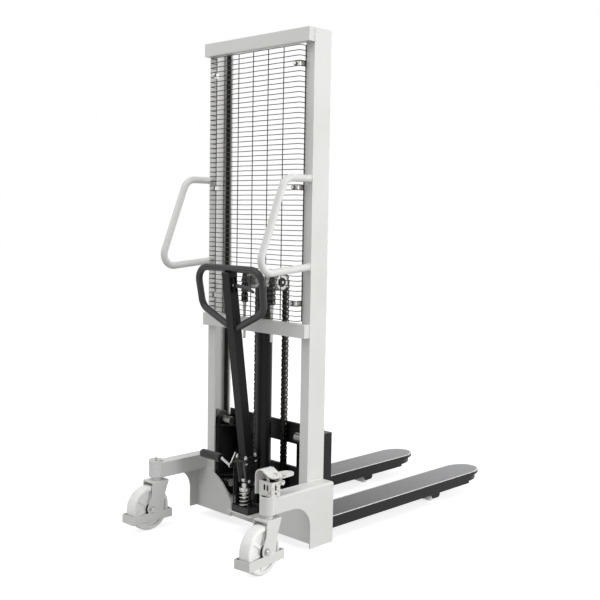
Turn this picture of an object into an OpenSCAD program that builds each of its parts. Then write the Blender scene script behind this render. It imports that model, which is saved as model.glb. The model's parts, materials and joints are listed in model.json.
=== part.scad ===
/* [Mast] */
// Height of the mast over the floor
mast_h = 1980; // [1600:10:2500]
// Width over the two uprights
mast_w = 595; // [540:5:700]
// Depth of an upright channel, front to back
mast_d = 90; // [80:1:110]
// Width of an upright channel across its flanges
channel_w = 45; // [40:1:60]
// Thickness of the channel flanges
flange_t = 8; // [6:0.5:10]
// Thickness of the channel web
web_t = 6; // [4:0.5:8]
// Height of the two cross beams
beam_h = 52; // [40:1:70]
// Depth of the two cross beams, front to back
beam_d = 30; // [20:1:40]
// Wall of the cross beam tube
beam_wall = 3; // [2:0.5:5]
// Height of the top face of the middle beam
mid_beam_z = 881; // [800:1:950]

/* [Mesh guard] */
// Thickness of the guard wires
wire_t = 3; // [2:0.5:4]
// Distance of the guard behind the uprights
mesh_back = 35; // [34:1:50]
// Lap of the guard over the uprights' inner edges
mesh_lap = 5; // [1:0.5:10]
// Free gap between the guard and each beam
mesh_gap = 9; // [5:1:20]
// Number of openings, bottom to top
mesh_rows = 54; // [30:1:60]
// Number of openings, side to side
mesh_cols = 6; // [4:1:8]
// Height of a holding clip
clip_h = 20; // [12:1:24]
// Thickness of a holding clip
clip_t = 2.5; // [1.5:0.5:3]

/* [Grab handles] */
// Diameter of the grab handle tube
grab_d = 28; // [22:1:32]
// Wall of the grab handle tube
grab_wall = 2.5; // [1.5:0.5:4]
// Height of the upper leg
grab_top_z = 1428; // [1350:1:1500]
// Height of the lower leg at the upright
grab_low_z = 1098; // [1020:1:1150]
// Reach of the lower bend behind the uprights
grab_reach = 268; // [220:1:290]
// Bend radius of the grab handle, at its centre line
grab_bend = 55; // [40:1:60]

/* [Base] */
// Half width over the outer side plates
side_x = 360; // [345:1:400]
// Thickness of the side plates
side_t = 5; // [4:0.5:8]
// Height of the arm's top face
arm_top_z = 274; // [265:1:300]
// Height of the arm's section
arm_h = 62; // [50:1:70]
// Height of the frame's lower edge over the floor
frame_low_z = 39; // [30:1:45]
// Thickness of the quarter round gusset plates
gusset_t = 8; // [5:0.5:10]
// Distance of the gusset's free edge from the middle
gusset_in_x = 135; // [120:1:160]
// Radius of the gusset's round edge
gusset_r = 202; // [196:1:208]
// Height of the base cross member's top face
base_top_z = 92; // [90:0.5:95]
// Thickness of the base cross member's plates
base_t = 5; // [4:0.5:6]
// Thickness of the pump plate
pump_plate_t = 6; // [5:0.5:10]
// Width of a straddle leg
leg_w = 120; // [100:1:124]
// Height of a straddle leg's section
leg_h = 36; // [30:1:38]
// Distance of the load roller axles in front of the mast's rear face
load_axle_y = 897; // [700:1:950]

/* [Wheels] */
// Diameter of a castor wheel
wheel_d = 180; // [160:2:184]
// Width of a castor wheel
wheel_w = 50; // [44:1:52]
// Distance of the castor's swivel axis behind the mast
castor_back = 242; // [225:1:260]
// Distance of the castor's swivel axis from the middle
castor_x = 334; // [325:1:338]
// Trail of the castor
trail = 43; // [35:1:48]
// Angle at which the right castor stands
right_turn = 7.3; // [0:0.1:20]
// Diameter of the castor housing
housing_d = 60; // [56:1:64]
// Diameter of a load roller
load_d = 78; // [74:1:84]
// Width of a load roller
load_w = 54; // [50:1:90]

/* [Lift] */
// Outer diameter of the lift cylinder
cyl_d = 65; // [60:1:70]
// Bore of the lift cylinder
cyl_bore = 50; // [45:1:54]
// Diameter of the piston rod
rod_d = 35; // [30:1:40]
// Height of the cylinder's top
cyl_top_z = 1002; // [900:1:1100]
// Pitch radius of the chain pulleys
pulley_r = 38; // [34:1:38]
// Distance of the pulleys from the middle
pulley_x = 80; // [70:1:95]
// Width of a lift chain
chain_w = 20; // [16:1:22]
// Depth of a chain plate
chain_d = 17; // [14:0.5:18]
// Width over one fork
fork_w = 157; // [150:1:165]
// Distance of a fork's middle from the truck's middle
fork_x = 201; // [198:1:204]
// Length of the forks in front of their uprights
fork_len = 1100; // [900:10:1200]
// Height of the forks' top face when lowered
fork_top_z = 98; // [97:0.5:100]
// Height of a fork's side skirt
fork_h = 47; // [40:1:50]
// Thickness of the fork plates
fork_t = 5; // [4:0.5:6]
// Height of the fork uprights
shank_top_z = 442; // [420:1:470]
// Height of the upper carriage bar's top face
bar_top_z = 460; // [455:1:475]
// Height of both carriage bars
bar_h = 85; // [70:1:95]

/* [Tiller] */
// Lean of the tiller from upright
lean = 7.85; // [4:0.05:12]
// Side of the tiller's square tube
tiller_w = 40; // [32:1:44]
// Height of the tiller's pivot
pivot_z = 215; // [212:1:218]
// Distance from the pivot to the loop's top bar
loop_top = 877; // [800:1:950]
// Half width of the loop's top
loop_half_w = 190; // [150:1:210]
// Diameter of the loop tube
loop_d = 28; // [24:1:32]
// Length of the finger lever
lever_len = 110; // [80:1:130]
// Outer diameter of the plunger spring
spring_d = 44; // [40:1:44]
// Diameter of the plunger spring's wire
spring_wire = 4.5; // [3:0.5:5]
// Diameter of the lowering pedal's grip
grip_d = 35; // [28:1:38]
// Length of the lowering pedal's grip
grip_len = 118; // [90:1:130]

/* [Hidden] */
$fn = 48;

// clearances
run_fit = 0.05;
rest_gap = 0.3;
roller_play = 0.3;
eps = 0.01;

// places along the truck, with the origin under the middle of its length
carriage_gap = 14;
bar_t = 12;
shank_d = 50;
guard_rear = 141;
guard_front = 56;
rear_reach = castor_back + guard_rear;
front_reach = mast_d + carriage_gap + shank_d + fork_len;
mast_y = (rear_reach - front_reach) / 2;
carriage_y = mast_y + mast_d + carriage_gap;
shank_front = carriage_y + shank_d;
fork_tip = shank_front + fork_len;
cyl_y = mast_y + 46;
castor_y = mast_y - castor_back;
half_w = mast_w / 2;
lip_x = half_w - channel_w;
mesh_half_w = lip_x + mesh_lap;
arm_low_z = arm_top_z - arm_h;

// lift chain
pulley_z = cyl_top_z + 25;
fixed_run_y = cyl_y - pulley_r;
carriage_run_y = cyl_y + pulley_r;
anchor_top_z = 938;
chain_end_z = 205;

// rollers inside the uprights
roller_d = mast_d - 2 * flange_t - 2 * roller_play;
roller_w = 32;
roller_in_x = lip_x + 3.5;
upper_roller_z = 425;
lower_roller_z = 160;
axle_r = 12.5;
roller_y = mast_y + mast_d / 2;

// castor fork, measured from its swivel axis
plate_z = 198;
plate_t = 6;
fork_leg_t = 4;
fork_half_w = wheel_w / 2 + 4 + fork_leg_t;
stem_r = 12.5;
rod_hole_r = 5.5;
bearing_r = 23.5;
bearing_h = 15;
axle_z = wheel_d / 2;
wheel_axle_r = 6;
guard_half_w = fork_half_w + 3;
guard_t = 3;
guard_low_z = 40;
guard_high_z = 75;

// hand pump and tiller
plate_top_z = base_top_z + pump_plate_t;
pump_top_z = plate_top_z + 28;
pivot_y = mast_y - 18;
plunger_y = mast_y - 52;
tiller_off = -12;
cheek_x = 13;
cheek_t = 12;
flange_s = 98;
flange_h = 10;
push_roller_r = 10;
push_roller_z = 229;
plunger_top_z = push_roller_z - push_roller_r - rest_gap;
plunger_stroke = 29;
plunger_r = 10;
collar_h = 28;
spring_top_z = 190;
spring_coils = 5;
bolt_at = 25;

// pedals
pedal_x = -46;
pedal_pin_y = mast_y - 53;
pedal_pin_z = 288;
grip_y = mast_y - 102;
grip_z = 311;
grip_right_x = -88;
brake_pin_y = 43;
brake_pin_z = 326;
brake_pin_r = 6;
brake_stroke = 5.4;
brake_x = castor_x;
cap_z = arm_top_z + 5;

// axis helpers: a flat outline of (Y, Z) points set upright along X, and of (X, Z) points along Y
module along_x(x0, len) translate([x0, 0, 0]) rotate([90, 0, 90]) linear_extrude(len) children();
module along_y(y0, len) translate([0, y0 + len, 0]) rotate([90, 0, 0]) linear_extrude(len) children();
module rod_x(x0, len, r, y, z) translate([x0, y, z]) rotate([0, 90, 0]) cylinder(h = len, r = r);
module block(x0, x1, y0, y1, z0, z1) translate([x0, y0, z0]) cube([x1 - x0, y1 - y0, z1 - z0]);
module side_of(s) mirror([s < 0 ? 1 : 0, 0, 0]) children();

// a tube bent in one plane: an arc at each inner corner, and straight runs seated in the arcs' ends
seat = 0.5;
seat_step = 0.2;
function unit(v) = v / norm(v);
function turn_at(p, i) = let (a = unit(p[i] - p[i - 1]), b = unit(p[i + 1] - p[i]))
    atan2(a[0] * b[1] - a[1] * b[0], a[0] * b[0] + a[1] * b[1]);
function trim_at(p, r, i) = i == 0 || i == len(p) - 1 ? 0 : r[i] * tan(abs(turn_at(p, i)) / 2) - seat;
module bent_rod(p, r, rod_r) {
    for (i = [0 : len(p) - 2]) {
        dir = unit(p[i + 1] - p[i]);
        start = p[i] + dir * trim_at(p, r, i);
        run = norm(p[i + 1] - p[i]) - trim_at(p, r, i) - trim_at(p, r, i + 1);
        translate([start[0], start[1], 0]) rotate([0, 0, atan2(dir[1], dir[0])])
            rotate([0, 90, 0]) cylinder(h = run, r = rod_r - seat_step);
    }
    for (i = [1 : len(p) - 2]) {
        t = turn_at(p, i);
        dir = unit(p[i] - p[i - 1]);
        from = p[i] - dir * (trim_at(p, r, i) + seat);
        heading = atan2(dir[1], dir[0]);
        side = t > 0 ? 1 : -1;
        centre = from + side * r[i] * [-sin(heading), cos(heading)];
        start_angle = t > 0 ? heading - 90 : heading + 90 + t;
        translate([centre[0], centre[1], 0]) rotate([0, 0, start_angle])
            rotate_extrude(angle = abs(t)) translate([r[i], 0]) circle(r = rod_r);
    }
}
module bent_tube(p, r, outer_r, wall) difference() {
    bent_rod(p, r, outer_r);
    bent_rod(p, r, outer_r - wall);
}

// mast
module upright() difference() {
    block(lip_x, half_w, mast_y, mast_y + mast_d, frame_low_z, mast_h);
    block(lip_x - 1, half_w - web_t, mast_y + flange_t, mast_y + mast_d - flange_t,
        frame_low_z - 1, mast_h + 1);
}
module mast_upright_left() color("gainsboro") side_of(-1) upright();
module mast_upright_right() color("gainsboro") upright();

module beam(top_z) difference() {
    block(-half_w, half_w, mast_y - beam_d, mast_y, top_z - beam_h, top_z);
    block(-half_w + beam_wall, half_w - beam_wall, mast_y - beam_d + beam_wall,
        mast_y - beam_wall, top_z - beam_h + beam_wall, top_z - beam_wall);
}
module top_beam() color("gainsboro") beam(mast_h);
module mid_beam() color("gainsboro") beam(mid_beam_z);

// mesh guard: welded wires as one thin sheet with openings, bent forward along both sides
mesh_low_z = mid_beam_z + mesh_gap;
mesh_high_z = mast_h - beam_h - mesh_gap;
mesh_y = mast_y - mesh_back;
row_pitch = (mesh_high_z - mesh_low_z - wire_t) / mesh_rows;
col_pitch = (2 * mesh_half_w - wire_t) / mesh_cols;
module mesh_rows_cut(u0, u1) for (i = [0 : mesh_rows - 1])
    translate([u0, mesh_low_z + wire_t + i * row_pitch]) square([u1 - u0, row_pitch - wire_t]);
module mesh_guard() color("dimgray") {
    along_y(mesh_y - wire_t / 2, wire_t) difference() {
        translate([-mesh_half_w, mesh_low_z]) square([2 * mesh_half_w, mesh_high_z - mesh_low_z]);
        for (k = [0 : mesh_cols - 1])
            mesh_rows_cut(-mesh_half_w + wire_t + k * col_pitch,
                -mesh_half_w + (k + 1) * col_pitch);
    }
    for (s = [-1, 1])
        along_x(s > 0 ? mesh_half_w - wire_t : -mesh_half_w, wire_t) difference() {
            translate([mesh_y + wire_t / 2, mesh_low_z])
                square([mesh_back - wire_t / 2 - rest_gap, mesh_high_z - mesh_low_z]);
            mesh_rows_cut(mesh_y + wire_t / 2, mast_y - rest_gap - wire_t);
        }
}

// mesh clips: zinc straps welded inside the channel edge, each with a bolt through the mesh
clip_rows = [0.06, 0.49, 0.93];
clip_zs = [for (share = clip_rows) mesh_low_z + wire_t / 2 + (floor(share * mesh_rows) + 0.5) * row_pitch];
clip_bolt_x = lip_x - 21.5;
module mesh_clip(z) {
    y0 = mesh_y + wire_t / 2;
    difference() {
        union() {
            block(clip_bolt_x - 9, lip_x, y0, y0 + clip_t, z - clip_h / 2, z + clip_h / 2);
            block(lip_x - clip_t, lip_x, y0, mast_y + flange_t, z - clip_h / 2, z + clip_h / 2);
        }
        translate([clip_bolt_x, y0 - 1, z]) rotate([-90, 0, 0]) cylinder(h = clip_t + 2, r = 3.2);
    }
    translate([clip_bolt_x, y0 - wire_t - 3, z]) rotate([-90, 0, 0])
        cylinder(h = wire_t + clip_t + 9, r = 3);
    translate([clip_bolt_x, y0 - wire_t - 8, z]) rotate([-90, 0, 0]) cylinder(h = 6, r = 7);
}
module mesh_clips() color("silver") for (s = [-1, 1], z = clip_zs) side_of(s) mesh_clip(z);

// grab handles: bent tubes welded behind the uprights
grab_top_reach = 130;
grab_sag = 24;
module grab_handle() difference() {
    translate([half_w - grab_d / 2, 0, 0]) rotate([90, 0, 90])
        bent_tube([[mast_y + 2, grab_top_z], [mast_y - grab_top_reach, grab_top_z],
            [mast_y - grab_reach, grab_low_z - grab_sag], [mast_y + 4, grab_low_z]],
            [0, grab_bend, grab_bend - 7, 0], grab_d / 2, grab_wall);
    block(half_w - 2 * grab_d, half_w + grab_d, mast_y, mast_y + grab_d, grab_low_z - grab_d,
        grab_top_z + grab_d);
}
module grab_handle_left() color("white") side_of(-1) grab_handle();
module grab_handle_right() color("white") grab_handle();

// side frame: an arm from the upright back to the castor, with an outer plate down to the foot
foot_rear_y = mast_y - 44;
foot_front_y = mast_y + 81;
arch_r = 92;
module side_frame() difference() {
    union() {
        along_y(castor_y, foot_front_y - castor_y) difference() {
            union() {
                translate([half_w, arm_low_z]) square([side_x - half_w - 8, arm_h]);
                translate([half_w, arm_low_z]) square([side_x - half_w, arm_h - 8]);
                translate([side_x - 8, arm_top_z - 8]) circle(r = 8);
            }
            translate([half_w + side_t, arm_low_z + side_t])
                square([side_x - half_w - 2 * side_t, arm_h - 2 * side_t]);
        }
        along_x(side_x - side_t, side_t) difference() {
            translate([castor_y, frame_low_z])
                square([foot_front_y - castor_y, arm_low_z + side_t - frame_low_z]);
            translate([castor_y - 1, frame_low_z - 1])
                square([foot_rear_y - arch_r - castor_y + 1, arm_low_z - frame_low_z + 1]);
            translate([foot_rear_y - arch_r - 1, frame_low_z - 1])
                square([arch_r + 1, arm_low_z - arch_r - frame_low_z + 1]);
            translate([foot_rear_y - arch_r, arm_low_z - arch_r]) circle(r = arch_r);
        }
        block(half_w, side_x, foot_front_y - side_t, foot_front_y, frame_low_z, arm_low_z + side_t);
    }
    translate([castor_x, castor_y, arm_low_z - 10])
        cylinder(h = arm_h + 20, r = housing_d / 2);
}
module side_frame_left() color("lightgray") side_of(-1) side_frame();
module side_frame_right() color("gainsboro") side_frame();

// gussets: quarter round plates behind the uprights, down to the frame's lower edge
module gusset() along_y(mast_y - gusset_t, gusset_t) intersection() {
    translate([gusset_in_x, frame_low_z])
        square([side_x - side_t - gusset_in_x, arm_low_z - frame_low_z]);
    union() {
        translate([half_w + 22.5, arm_low_z - gusset_r + 1]) circle(r = gusset_r);
        translate([half_w, frame_low_z]) square([side_x - half_w, arm_low_z - frame_low_z]);
    }
}
module gussets() color("lightgray") for (s = [-1, 1]) side_of(s) gusset();

// base plate: a channel across the truck, open below, with the pump plate on top
pump_plate_half_w = 70;
pump_plate_back = 80;
module base_plate() color("lightgray") {
    difference() {
        block(-lip_x, lip_x, mast_y, mast_y + mast_d, frame_low_z, base_top_z);
        block(-lip_x - 1, lip_x + 1, mast_y + base_t, mast_y + mast_d - base_t,
            frame_low_z - 1, base_top_z - base_t);
    }
    block(-pump_plate_half_w, pump_plate_half_w, mast_y - pump_plate_back, mast_y + mast_d,
        base_top_z, plate_top_z);
}

// straddle legs: box sections under the forks, each with a welded axle for its load roller
leg_top_z = 90;
load_y = mast_y + load_axle_y;
leg_cheek_t = 8;
leg_wall = 6;
load_axle_r = 10;
load_boss_r = 16;
module straddle_leg() {
    x0 = fork_x - leg_w / 2;
    x1 = fork_x + leg_w / 2;
    box_end = load_y - load_d / 2 - 12;
    leg_low_z = leg_top_z - leg_h;
    load_z = load_d / 2;
    difference() {
        block(x0, x1, mast_y + mast_d, box_end, leg_low_z, leg_top_z);
        block(x0 + leg_wall, x1 - leg_wall, mast_y + mast_d + leg_wall, box_end - leg_wall,
            leg_low_z + leg_wall, leg_top_z - leg_wall);
    }
    for (x = [x0, x1 - leg_cheek_t])
        along_x(x, leg_cheek_t)
            union() {
                polygon([[box_end - 60, leg_top_z], [box_end - 60, leg_low_z], [box_end, leg_low_z],
                    [load_y - load_boss_r - 16, load_z - load_boss_r], [load_y, load_z - load_boss_r],
                    [load_y + load_boss_r, load_z], [load_y - 8, leg_top_z]]);
                translate([load_y, load_z]) circle(r = load_boss_r);
            }
    rod_x(x0 + 2, leg_w - 4, load_axle_r, load_y, load_z);
}
module straddle_leg_left() color("dimgray") side_of(-1) straddle_leg();
module straddle_leg_right() color("dimgray") straddle_leg();

module load_roller() difference() {
    union() {
        rod_x(fork_x - load_w / 2, load_w, load_d / 2, load_y, load_d / 2);
        rod_x(fork_x - leg_w / 2 + leg_cheek_t + rest_gap,
            leg_w - 2 * leg_cheek_t - 2 * rest_gap, load_axle_r + 8, load_y, load_d / 2);
    }
    rod_x(fork_x - leg_w, 2 * leg_w, load_axle_r + run_fit, load_y, load_d / 2);
}
module load_roller_left() color("white") side_of(-1) load_roller();
module load_roller_right() color("white") load_roller();

// castor housings: short tubes at the arms' rear ends, each with two bearings inside
stem_top_z = arm_top_z - 2;
module housing() translate([castor_x, castor_y, 0]) difference() {
    translate([0, 0, arm_low_z]) cylinder(h = cap_z - arm_low_z, r = housing_d / 2);
    translate([0, 0, arm_low_z - 1]) cylinder(h = cap_z - arm_low_z + 2, r = bearing_r - 2);
    translate([0, 0, arm_low_z - 1]) cylinder(h = bearing_h + 1, r = bearing_r);
    translate([0, 0, cap_z - bearing_h - 5]) cylinder(h = bearing_h + 6, r = bearing_r);
}
module castor_housing_left() color("lightgray") side_of(-1) housing();
module castor_housing_right() color("gainsboro") housing();
module swivel_bearings() color("silver")
    for (s = [-1, 1], z = [arm_low_z, cap_z - bearing_h - 5])
        side_of(s) translate([castor_x, castor_y, z]) difference() {
            cylinder(h = bearing_h, r = bearing_r);
            translate([0, 0, -1]) cylinder(h = bearing_h + 2, r = stem_r + run_fit);
        }

// housing cap: a pressed cap on the left housing, with a grease nipple
module housing_cap() color("lightsteelblue") translate([-castor_x, castor_y, 0]) {
    translate([0, 0, cap_z - 4]) cylinder(h = 4, r = bearing_r - rest_gap);
    translate([0, 0, cap_z]) cylinder(h = 3, r = housing_d / 2 - 2);
    translate([0, 0, cap_z + 3]) cylinder(h = 4, r = 5.5, $fn = 6);
    translate([0, 0, cap_z + 7]) cylinder(h = 7, r = 3);
}

// brake bracket on the right housing: a windowed box with two ears that carry the pedal's pin
bracket_left = -35;
bracket_right = 31;
bracket_rear = -12;
bracket_front = 31;
bracket_wall = 5;
bracket_top_z = 333;
window_r = 4.5;
module window(u, low, high) {
    translate([u, low]) circle(r = window_r);
    translate([u, high]) circle(r = window_r);
    translate([u - window_r, low]) square([2 * window_r, high - low]);
}
module brake_bracket() color("whitesmoke") translate([brake_x, castor_y, 0]) {
    difference() {
        union() {
            block(bracket_left, bracket_right, bracket_rear, bracket_front, cap_z, bracket_top_z);
            for (x = [bracket_left, bracket_right - bracket_wall])
                along_x(x, bracket_wall) union() {
                    translate([brake_pin_y, brake_pin_z]) circle(r = brake_pin_r + 3);
                    translate([bracket_front - bracket_wall, brake_pin_z - brake_pin_r - 3])
                        square([brake_pin_y - bracket_front + bracket_wall, 2 * brake_pin_r + 6]);
                }
        }
        block(bracket_left + bracket_wall, bracket_right - bracket_wall, bracket_rear + bracket_wall,
            bracket_front - bracket_wall, cap_z + bracket_wall, bracket_top_z + 1);
        along_y(bracket_rear - 1, bracket_wall + 2) {
            window(-6, cap_z + 25, cap_z + 39);
            window(10, cap_z + 25, cap_z + 39);
        }
        along_x(bracket_right - bracket_wall - 1, bracket_wall + 2) {
            window(9.5, cap_z + 27, cap_z + 39);
            translate([9.5, cap_z + 12]) circle(r = window_r);
        }
        translate([0, 0, cap_z - 1]) cylinder(h = bracket_wall + 2, r = rod_hole_r + 1);
    }
    rod_x(bracket_left - 2, bracket_right - bracket_left + 3, brake_pin_r, brake_pin_y, brake_pin_z);
    rod_x(bracket_right, 4, brake_pin_r + 3, brake_pin_y, brake_pin_z);
}

// brake pedal: a cast plate that arches down on the left, with a lobe in front for the toe
pedal_left = -46;
pedal_right = 36;
pedal_rear = -22;
pedal_front = 36;
pedal_plate_t = 4.5;
arch_out_r = 26;
arch_z = 350;
pedal_edge_z = 352;
lobe_x = 12;
lobe_r = 22;
lobe_y = 88;
nose_half = 4;
brake_nose_z = 318;
module pedal_section() {
    top_z = arch_z + arch_out_r;
    arch_x = pedal_left + arch_out_r;
    translate([pedal_left, cap_z + 2]) square([pedal_plate_t, arch_z - cap_z - 2]);
    intersection() {
        difference() {
            translate([arch_x, arch_z]) circle(r = arch_out_r);
            translate([arch_x, arch_z]) circle(r = arch_out_r - pedal_plate_t);
        }
        translate([pedal_left - 1, arch_z]) square([arch_out_r + 1, arch_out_r + 1]);
    }
    polygon([[arch_x, top_z], [arch_x + 12, top_z], [pedal_right, pedal_edge_z],
        [pedal_right, pedal_edge_z - pedal_plate_t], [arch_x + 11, top_z - pedal_plate_t],
        [arch_x, top_z - pedal_plate_t]]);
}
module brake_pedal() color("whitesmoke") translate([brake_x, castor_y, 0]) difference() {
    union() {
        along_y(pedal_rear, pedal_front - pedal_rear) pedal_section();
        intersection() {
            along_x(lobe_x - lobe_r, 2 * lobe_r)
                polygon([[pedal_front - 22, arch_z + 16], [pedal_front + 14, arch_z + 5],
                    [lobe_y + lobe_r, arch_z + 2], [lobe_y + lobe_r, arch_z - 7],
                    [pedal_front + 14, arch_z - 9], [pedal_front - 4, arch_z - 7],
                    [pedal_front - 22, arch_z + 4]]);
            linear_extrude(2 * arch_z) union() {
                translate([lobe_x - lobe_r, 0]) square([2 * lobe_r, lobe_y]);
                translate([lobe_x, lobe_y]) circle(r = lobe_r);
            }
        }
        rod_x(bracket_left + bracket_wall + 0.5, bracket_right - bracket_left - 2 * bracket_wall - 1,
            brake_pin_r + 3, brake_pin_y, brake_pin_z);
        block(lobe_x - 14, lobe_x + 10, brake_pin_y - 7, brake_pin_y + 7, brake_pin_z, arch_z - 6);
        block(-nose_half, nose_half, -nose_half, nose_half, brake_nose_z, pedal_edge_z + 14);
    }
    rod_x(bracket_left, bracket_right - bracket_left, brake_pin_r + run_fit, brake_pin_y, brake_pin_z);
    translate([pedal_right - 24, pedal_rear, arch_z - 20]) difference() {
        translate([0, -1, 0]) cube([25, 25, 60]);
        translate([0, 24, -1]) cylinder(h = 62, r = 24);
    }
}
wheel_top_z = axle_z + sqrt(pow(wheel_d / 2, 2) - pow(trail - 5, 2));
rod_low_z = wheel_top_z + brake_stroke + rest_gap;
module brake_rod() color("silver") translate([brake_x, castor_y, 0]) {
    translate([0, 0, rod_low_z]) cylinder(h = brake_nose_z - rest_gap - rod_low_z, r = 4.5);
    translate([0, 0, brake_nose_z - rest_gap - 6]) cylinder(h = 6, r = 6);
}

// castor fork: a bent plate on a hollow stem, with the flat bar foot guard welded round it
module castor_fork() difference() {
    union() {
        block(-fork_half_w, fork_half_w, -40, 40, plate_z - plate_t, plate_z);
        translate([0, 0, plate_z - eps]) cylinder(h = arm_low_z - 1 - plate_z, r = 19);
        translate([0, 0, plate_z - eps]) cylinder(h = stem_top_z - plate_z, r = stem_r);
        for (x = [-fork_half_w, fork_half_w - fork_leg_t])
            along_x(x, fork_leg_t) union() {
                polygon([[-40, plate_z - plate_t], [40, plate_z - plate_t], [22, 144],
                    [6, guard_low_z + 20], [-trail - 4, guard_low_z + 20],
                    [-trail - 21, axle_z - 8], [-trail - 19, axle_z + 14], [-44, 143]]);
                translate([-trail, axle_z]) circle(r = 22);
            }
        for (x = [-1, 1])
            block(x > 0 ? fork_half_w - eps : -guard_half_w, x > 0 ? guard_half_w : -fork_half_w + eps,
                -guard_rear, guard_front, guard_low_z, guard_high_z);
        for (y = [-guard_rear, guard_front - guard_t])
            block(-guard_half_w, guard_half_w, y, y + guard_t, guard_low_z, guard_high_z);
    }
    translate([0, 0, plate_z - plate_t - 1]) cylinder(h = 100, r = rod_hole_r);
    rod_x(-100, 200, wheel_axle_r + run_fit, -trail, axle_z);
}
module at_castor(s) translate([s * castor_x, castor_y, 0])
    rotate([0, 0, s > 0 ? right_turn : 0]) children();
module castor_fork_left() color("lightgray") at_castor(-1) castor_fork();
module castor_fork_right() color("gainsboro") at_castor(1) castor_fork();

// castor wheel: nylon, with recessed sides and a hub bore on the axle
module castor_wheel() difference() {
    rod_x(-wheel_w / 2, wheel_w, wheel_d / 2, -trail, axle_z);
    for (x = [-wheel_w / 2 - 1, wheel_w / 2 - 11])
        difference() {
            rod_x(x, 12, wheel_d / 2 - 17, -trail, axle_z);
            rod_x(x - 1, 14, 24, -trail, axle_z);
        }
    rod_x(-60, 120, wheel_axle_r + 1 + run_fit, -trail, axle_z);
}
module castor_wheel_left() color("white") at_castor(-1) castor_wheel();
module castor_wheel_right() color("white") at_castor(1) castor_wheel();

// castor axle: a bolt with its nut, and the sleeve that the wheel turns on
module castor_axle() {
    rod_x(-fork_half_w, 2 * fork_half_w, wheel_axle_r, -trail, axle_z);
    rod_x(-wheel_w / 2 - 3.5, wheel_w + 7, wheel_axle_r + 1, -trail, axle_z);
    translate([fork_half_w, -trail, axle_z]) rotate([0, 90, 0]) cylinder(h = 3, r = 12);
    translate([-fork_half_w - 3, -trail, axle_z]) rotate([0, 90, 0]) cylinder(h = 3, r = 12);
    translate([fork_half_w + 3 - eps, -trail, axle_z]) rotate([0, 90, 0])
        cylinder(h = 6, r = 10, $fn = 6);
    translate([-fork_half_w - 8, -trail, axle_z]) rotate([0, 90, 0])
        cylinder(h = 5 + eps, r = 10, $fn = 6);
}
module castor_axle_left() color("silver") at_castor(-1) castor_axle();
module castor_axle_right() color("silver") at_castor(1) castor_axle();

// lift cylinder: a closed tube with its gland at the top
gland_h = 38;
module lift_cylinder() color("black") translate([0, cyl_y, 0]) difference() {
    union() {
        translate([0, 0, plate_top_z]) cylinder(h = cyl_top_z - plate_top_z, r = cyl_d / 2);
        translate([0, 0, plate_top_z]) cylinder(h = 14, r = cyl_d / 2 + 3);
    }
    translate([0, 0, plate_top_z + 20])
        cylinder(h = cyl_top_z - plate_top_z - 20 - gland_h, r = cyl_bore / 2);
    translate([0, 0, plate_top_z + 21]) cylinder(h = cyl_top_z, r = rod_d / 2 + run_fit);
}

// piston rod with its piston, down inside the cylinder
piston_low_z = plate_top_z + 30;
crosshead_low_z = cyl_top_z + 6;
module piston_rod() color("silver") translate([0, cyl_y, 0]) {
    translate([0, 0, piston_low_z]) cylinder(h = crosshead_low_z - piston_low_z, r = rod_d / 2);
    translate([0, 0, piston_low_z]) cylinder(h = 30, r = cyl_bore / 2 - run_fit);
}

// crosshead: a bar on the rod's end, with an axle stub and a retaining disc for each pulley
pulley_w = 24;
head_half = pulley_x - pulley_w / 2 - 2;
module crosshead() color("silver") {
    block(-head_half, head_half, cyl_y - 18, cyl_y + 18, crosshead_low_z, crosshead_low_z + 38);
    rod_x(-pulley_x - 22, 2 * (pulley_x + 22), 10, cyl_y, pulley_z);
    for (s = [-1, 1]) side_of(s) {
        rod_x(pulley_x + pulley_w / 2 + 1, 3, pulley_r - 2, cyl_y, pulley_z);
        rod_x(pulley_x + pulley_w / 2 + 4 - eps, 6, 15, cyl_y, pulley_z);
    }
}

// pulley: a grooved disc for the leaf chain
module pulley() translate([pulley_x, cyl_y, pulley_z]) rotate([0, 90, 0]) difference() {
    union() {
        translate([0, 0, -pulley_w / 2]) cylinder(h = pulley_w, r = pulley_r - chain_d / 2 - rest_gap);
        for (z = [-pulley_w / 2, pulley_w / 2 - 1.5])
            translate([0, 0, z]) cylinder(h = 1.5, r = pulley_r - 2);
    }
    translate([0, 0, -pulley_w]) cylinder(h = 2 * pulley_w, r = 10 + run_fit);
}
module pulley_left() color("dimgray") side_of(-1) pulley();
module pulley_right() color("dimgray") pulley();

// lift chains: a fixed run behind, a turn over the pulley, and a run in front to the carriage
module chain_run(y, z0, z1) for (s = [-1, 1]) side_of(s)
    block(pulley_x - chain_w / 2, pulley_x + chain_w / 2, y - chain_d / 2, y + chain_d / 2, z0, z1);
module chain_fixed_runs() color("dimgray") chain_run(fixed_run_y, anchor_top_z, pulley_z);
module chain_carriage_runs() color("dimgray") chain_run(carriage_run_y, chain_end_z, pulley_z);
module chain_over_pulleys() color("dimgray") for (s = [-1, 1]) side_of(s)
    translate([pulley_x - chain_w / 2, cyl_y, pulley_z]) rotate([90, 0, 90])
        rotate_extrude(angle = 180) translate([pulley_r - chain_d / 2, 0])
            square([chain_d, chain_w]);

// chain anchors: threaded rods that hold the fixed runs, each in a lug on the middle beam
anchor_low_z = mid_beam_z - beam_h - 38;
lug_z = mid_beam_z - beam_h + 6;
module chain_anchors() color("silver") for (s = [-1, 1]) side_of(s) {
    translate([pulley_x, fixed_run_y, anchor_low_z]) cylinder(h = anchor_top_z - anchor_low_z, r = 6);
    block(pulley_x - 8, pulley_x + 8, mast_y, fixed_run_y + 8, lug_z, lug_z + 24);
    translate([pulley_x, fixed_run_y, lug_z - 10]) cylinder(h = 10 + eps, r = 8.8, $fn = 6);
    translate([pulley_x, fixed_run_y, anchor_top_z - 26]) cylinder(h = 26, r = 7.5);
}

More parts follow.
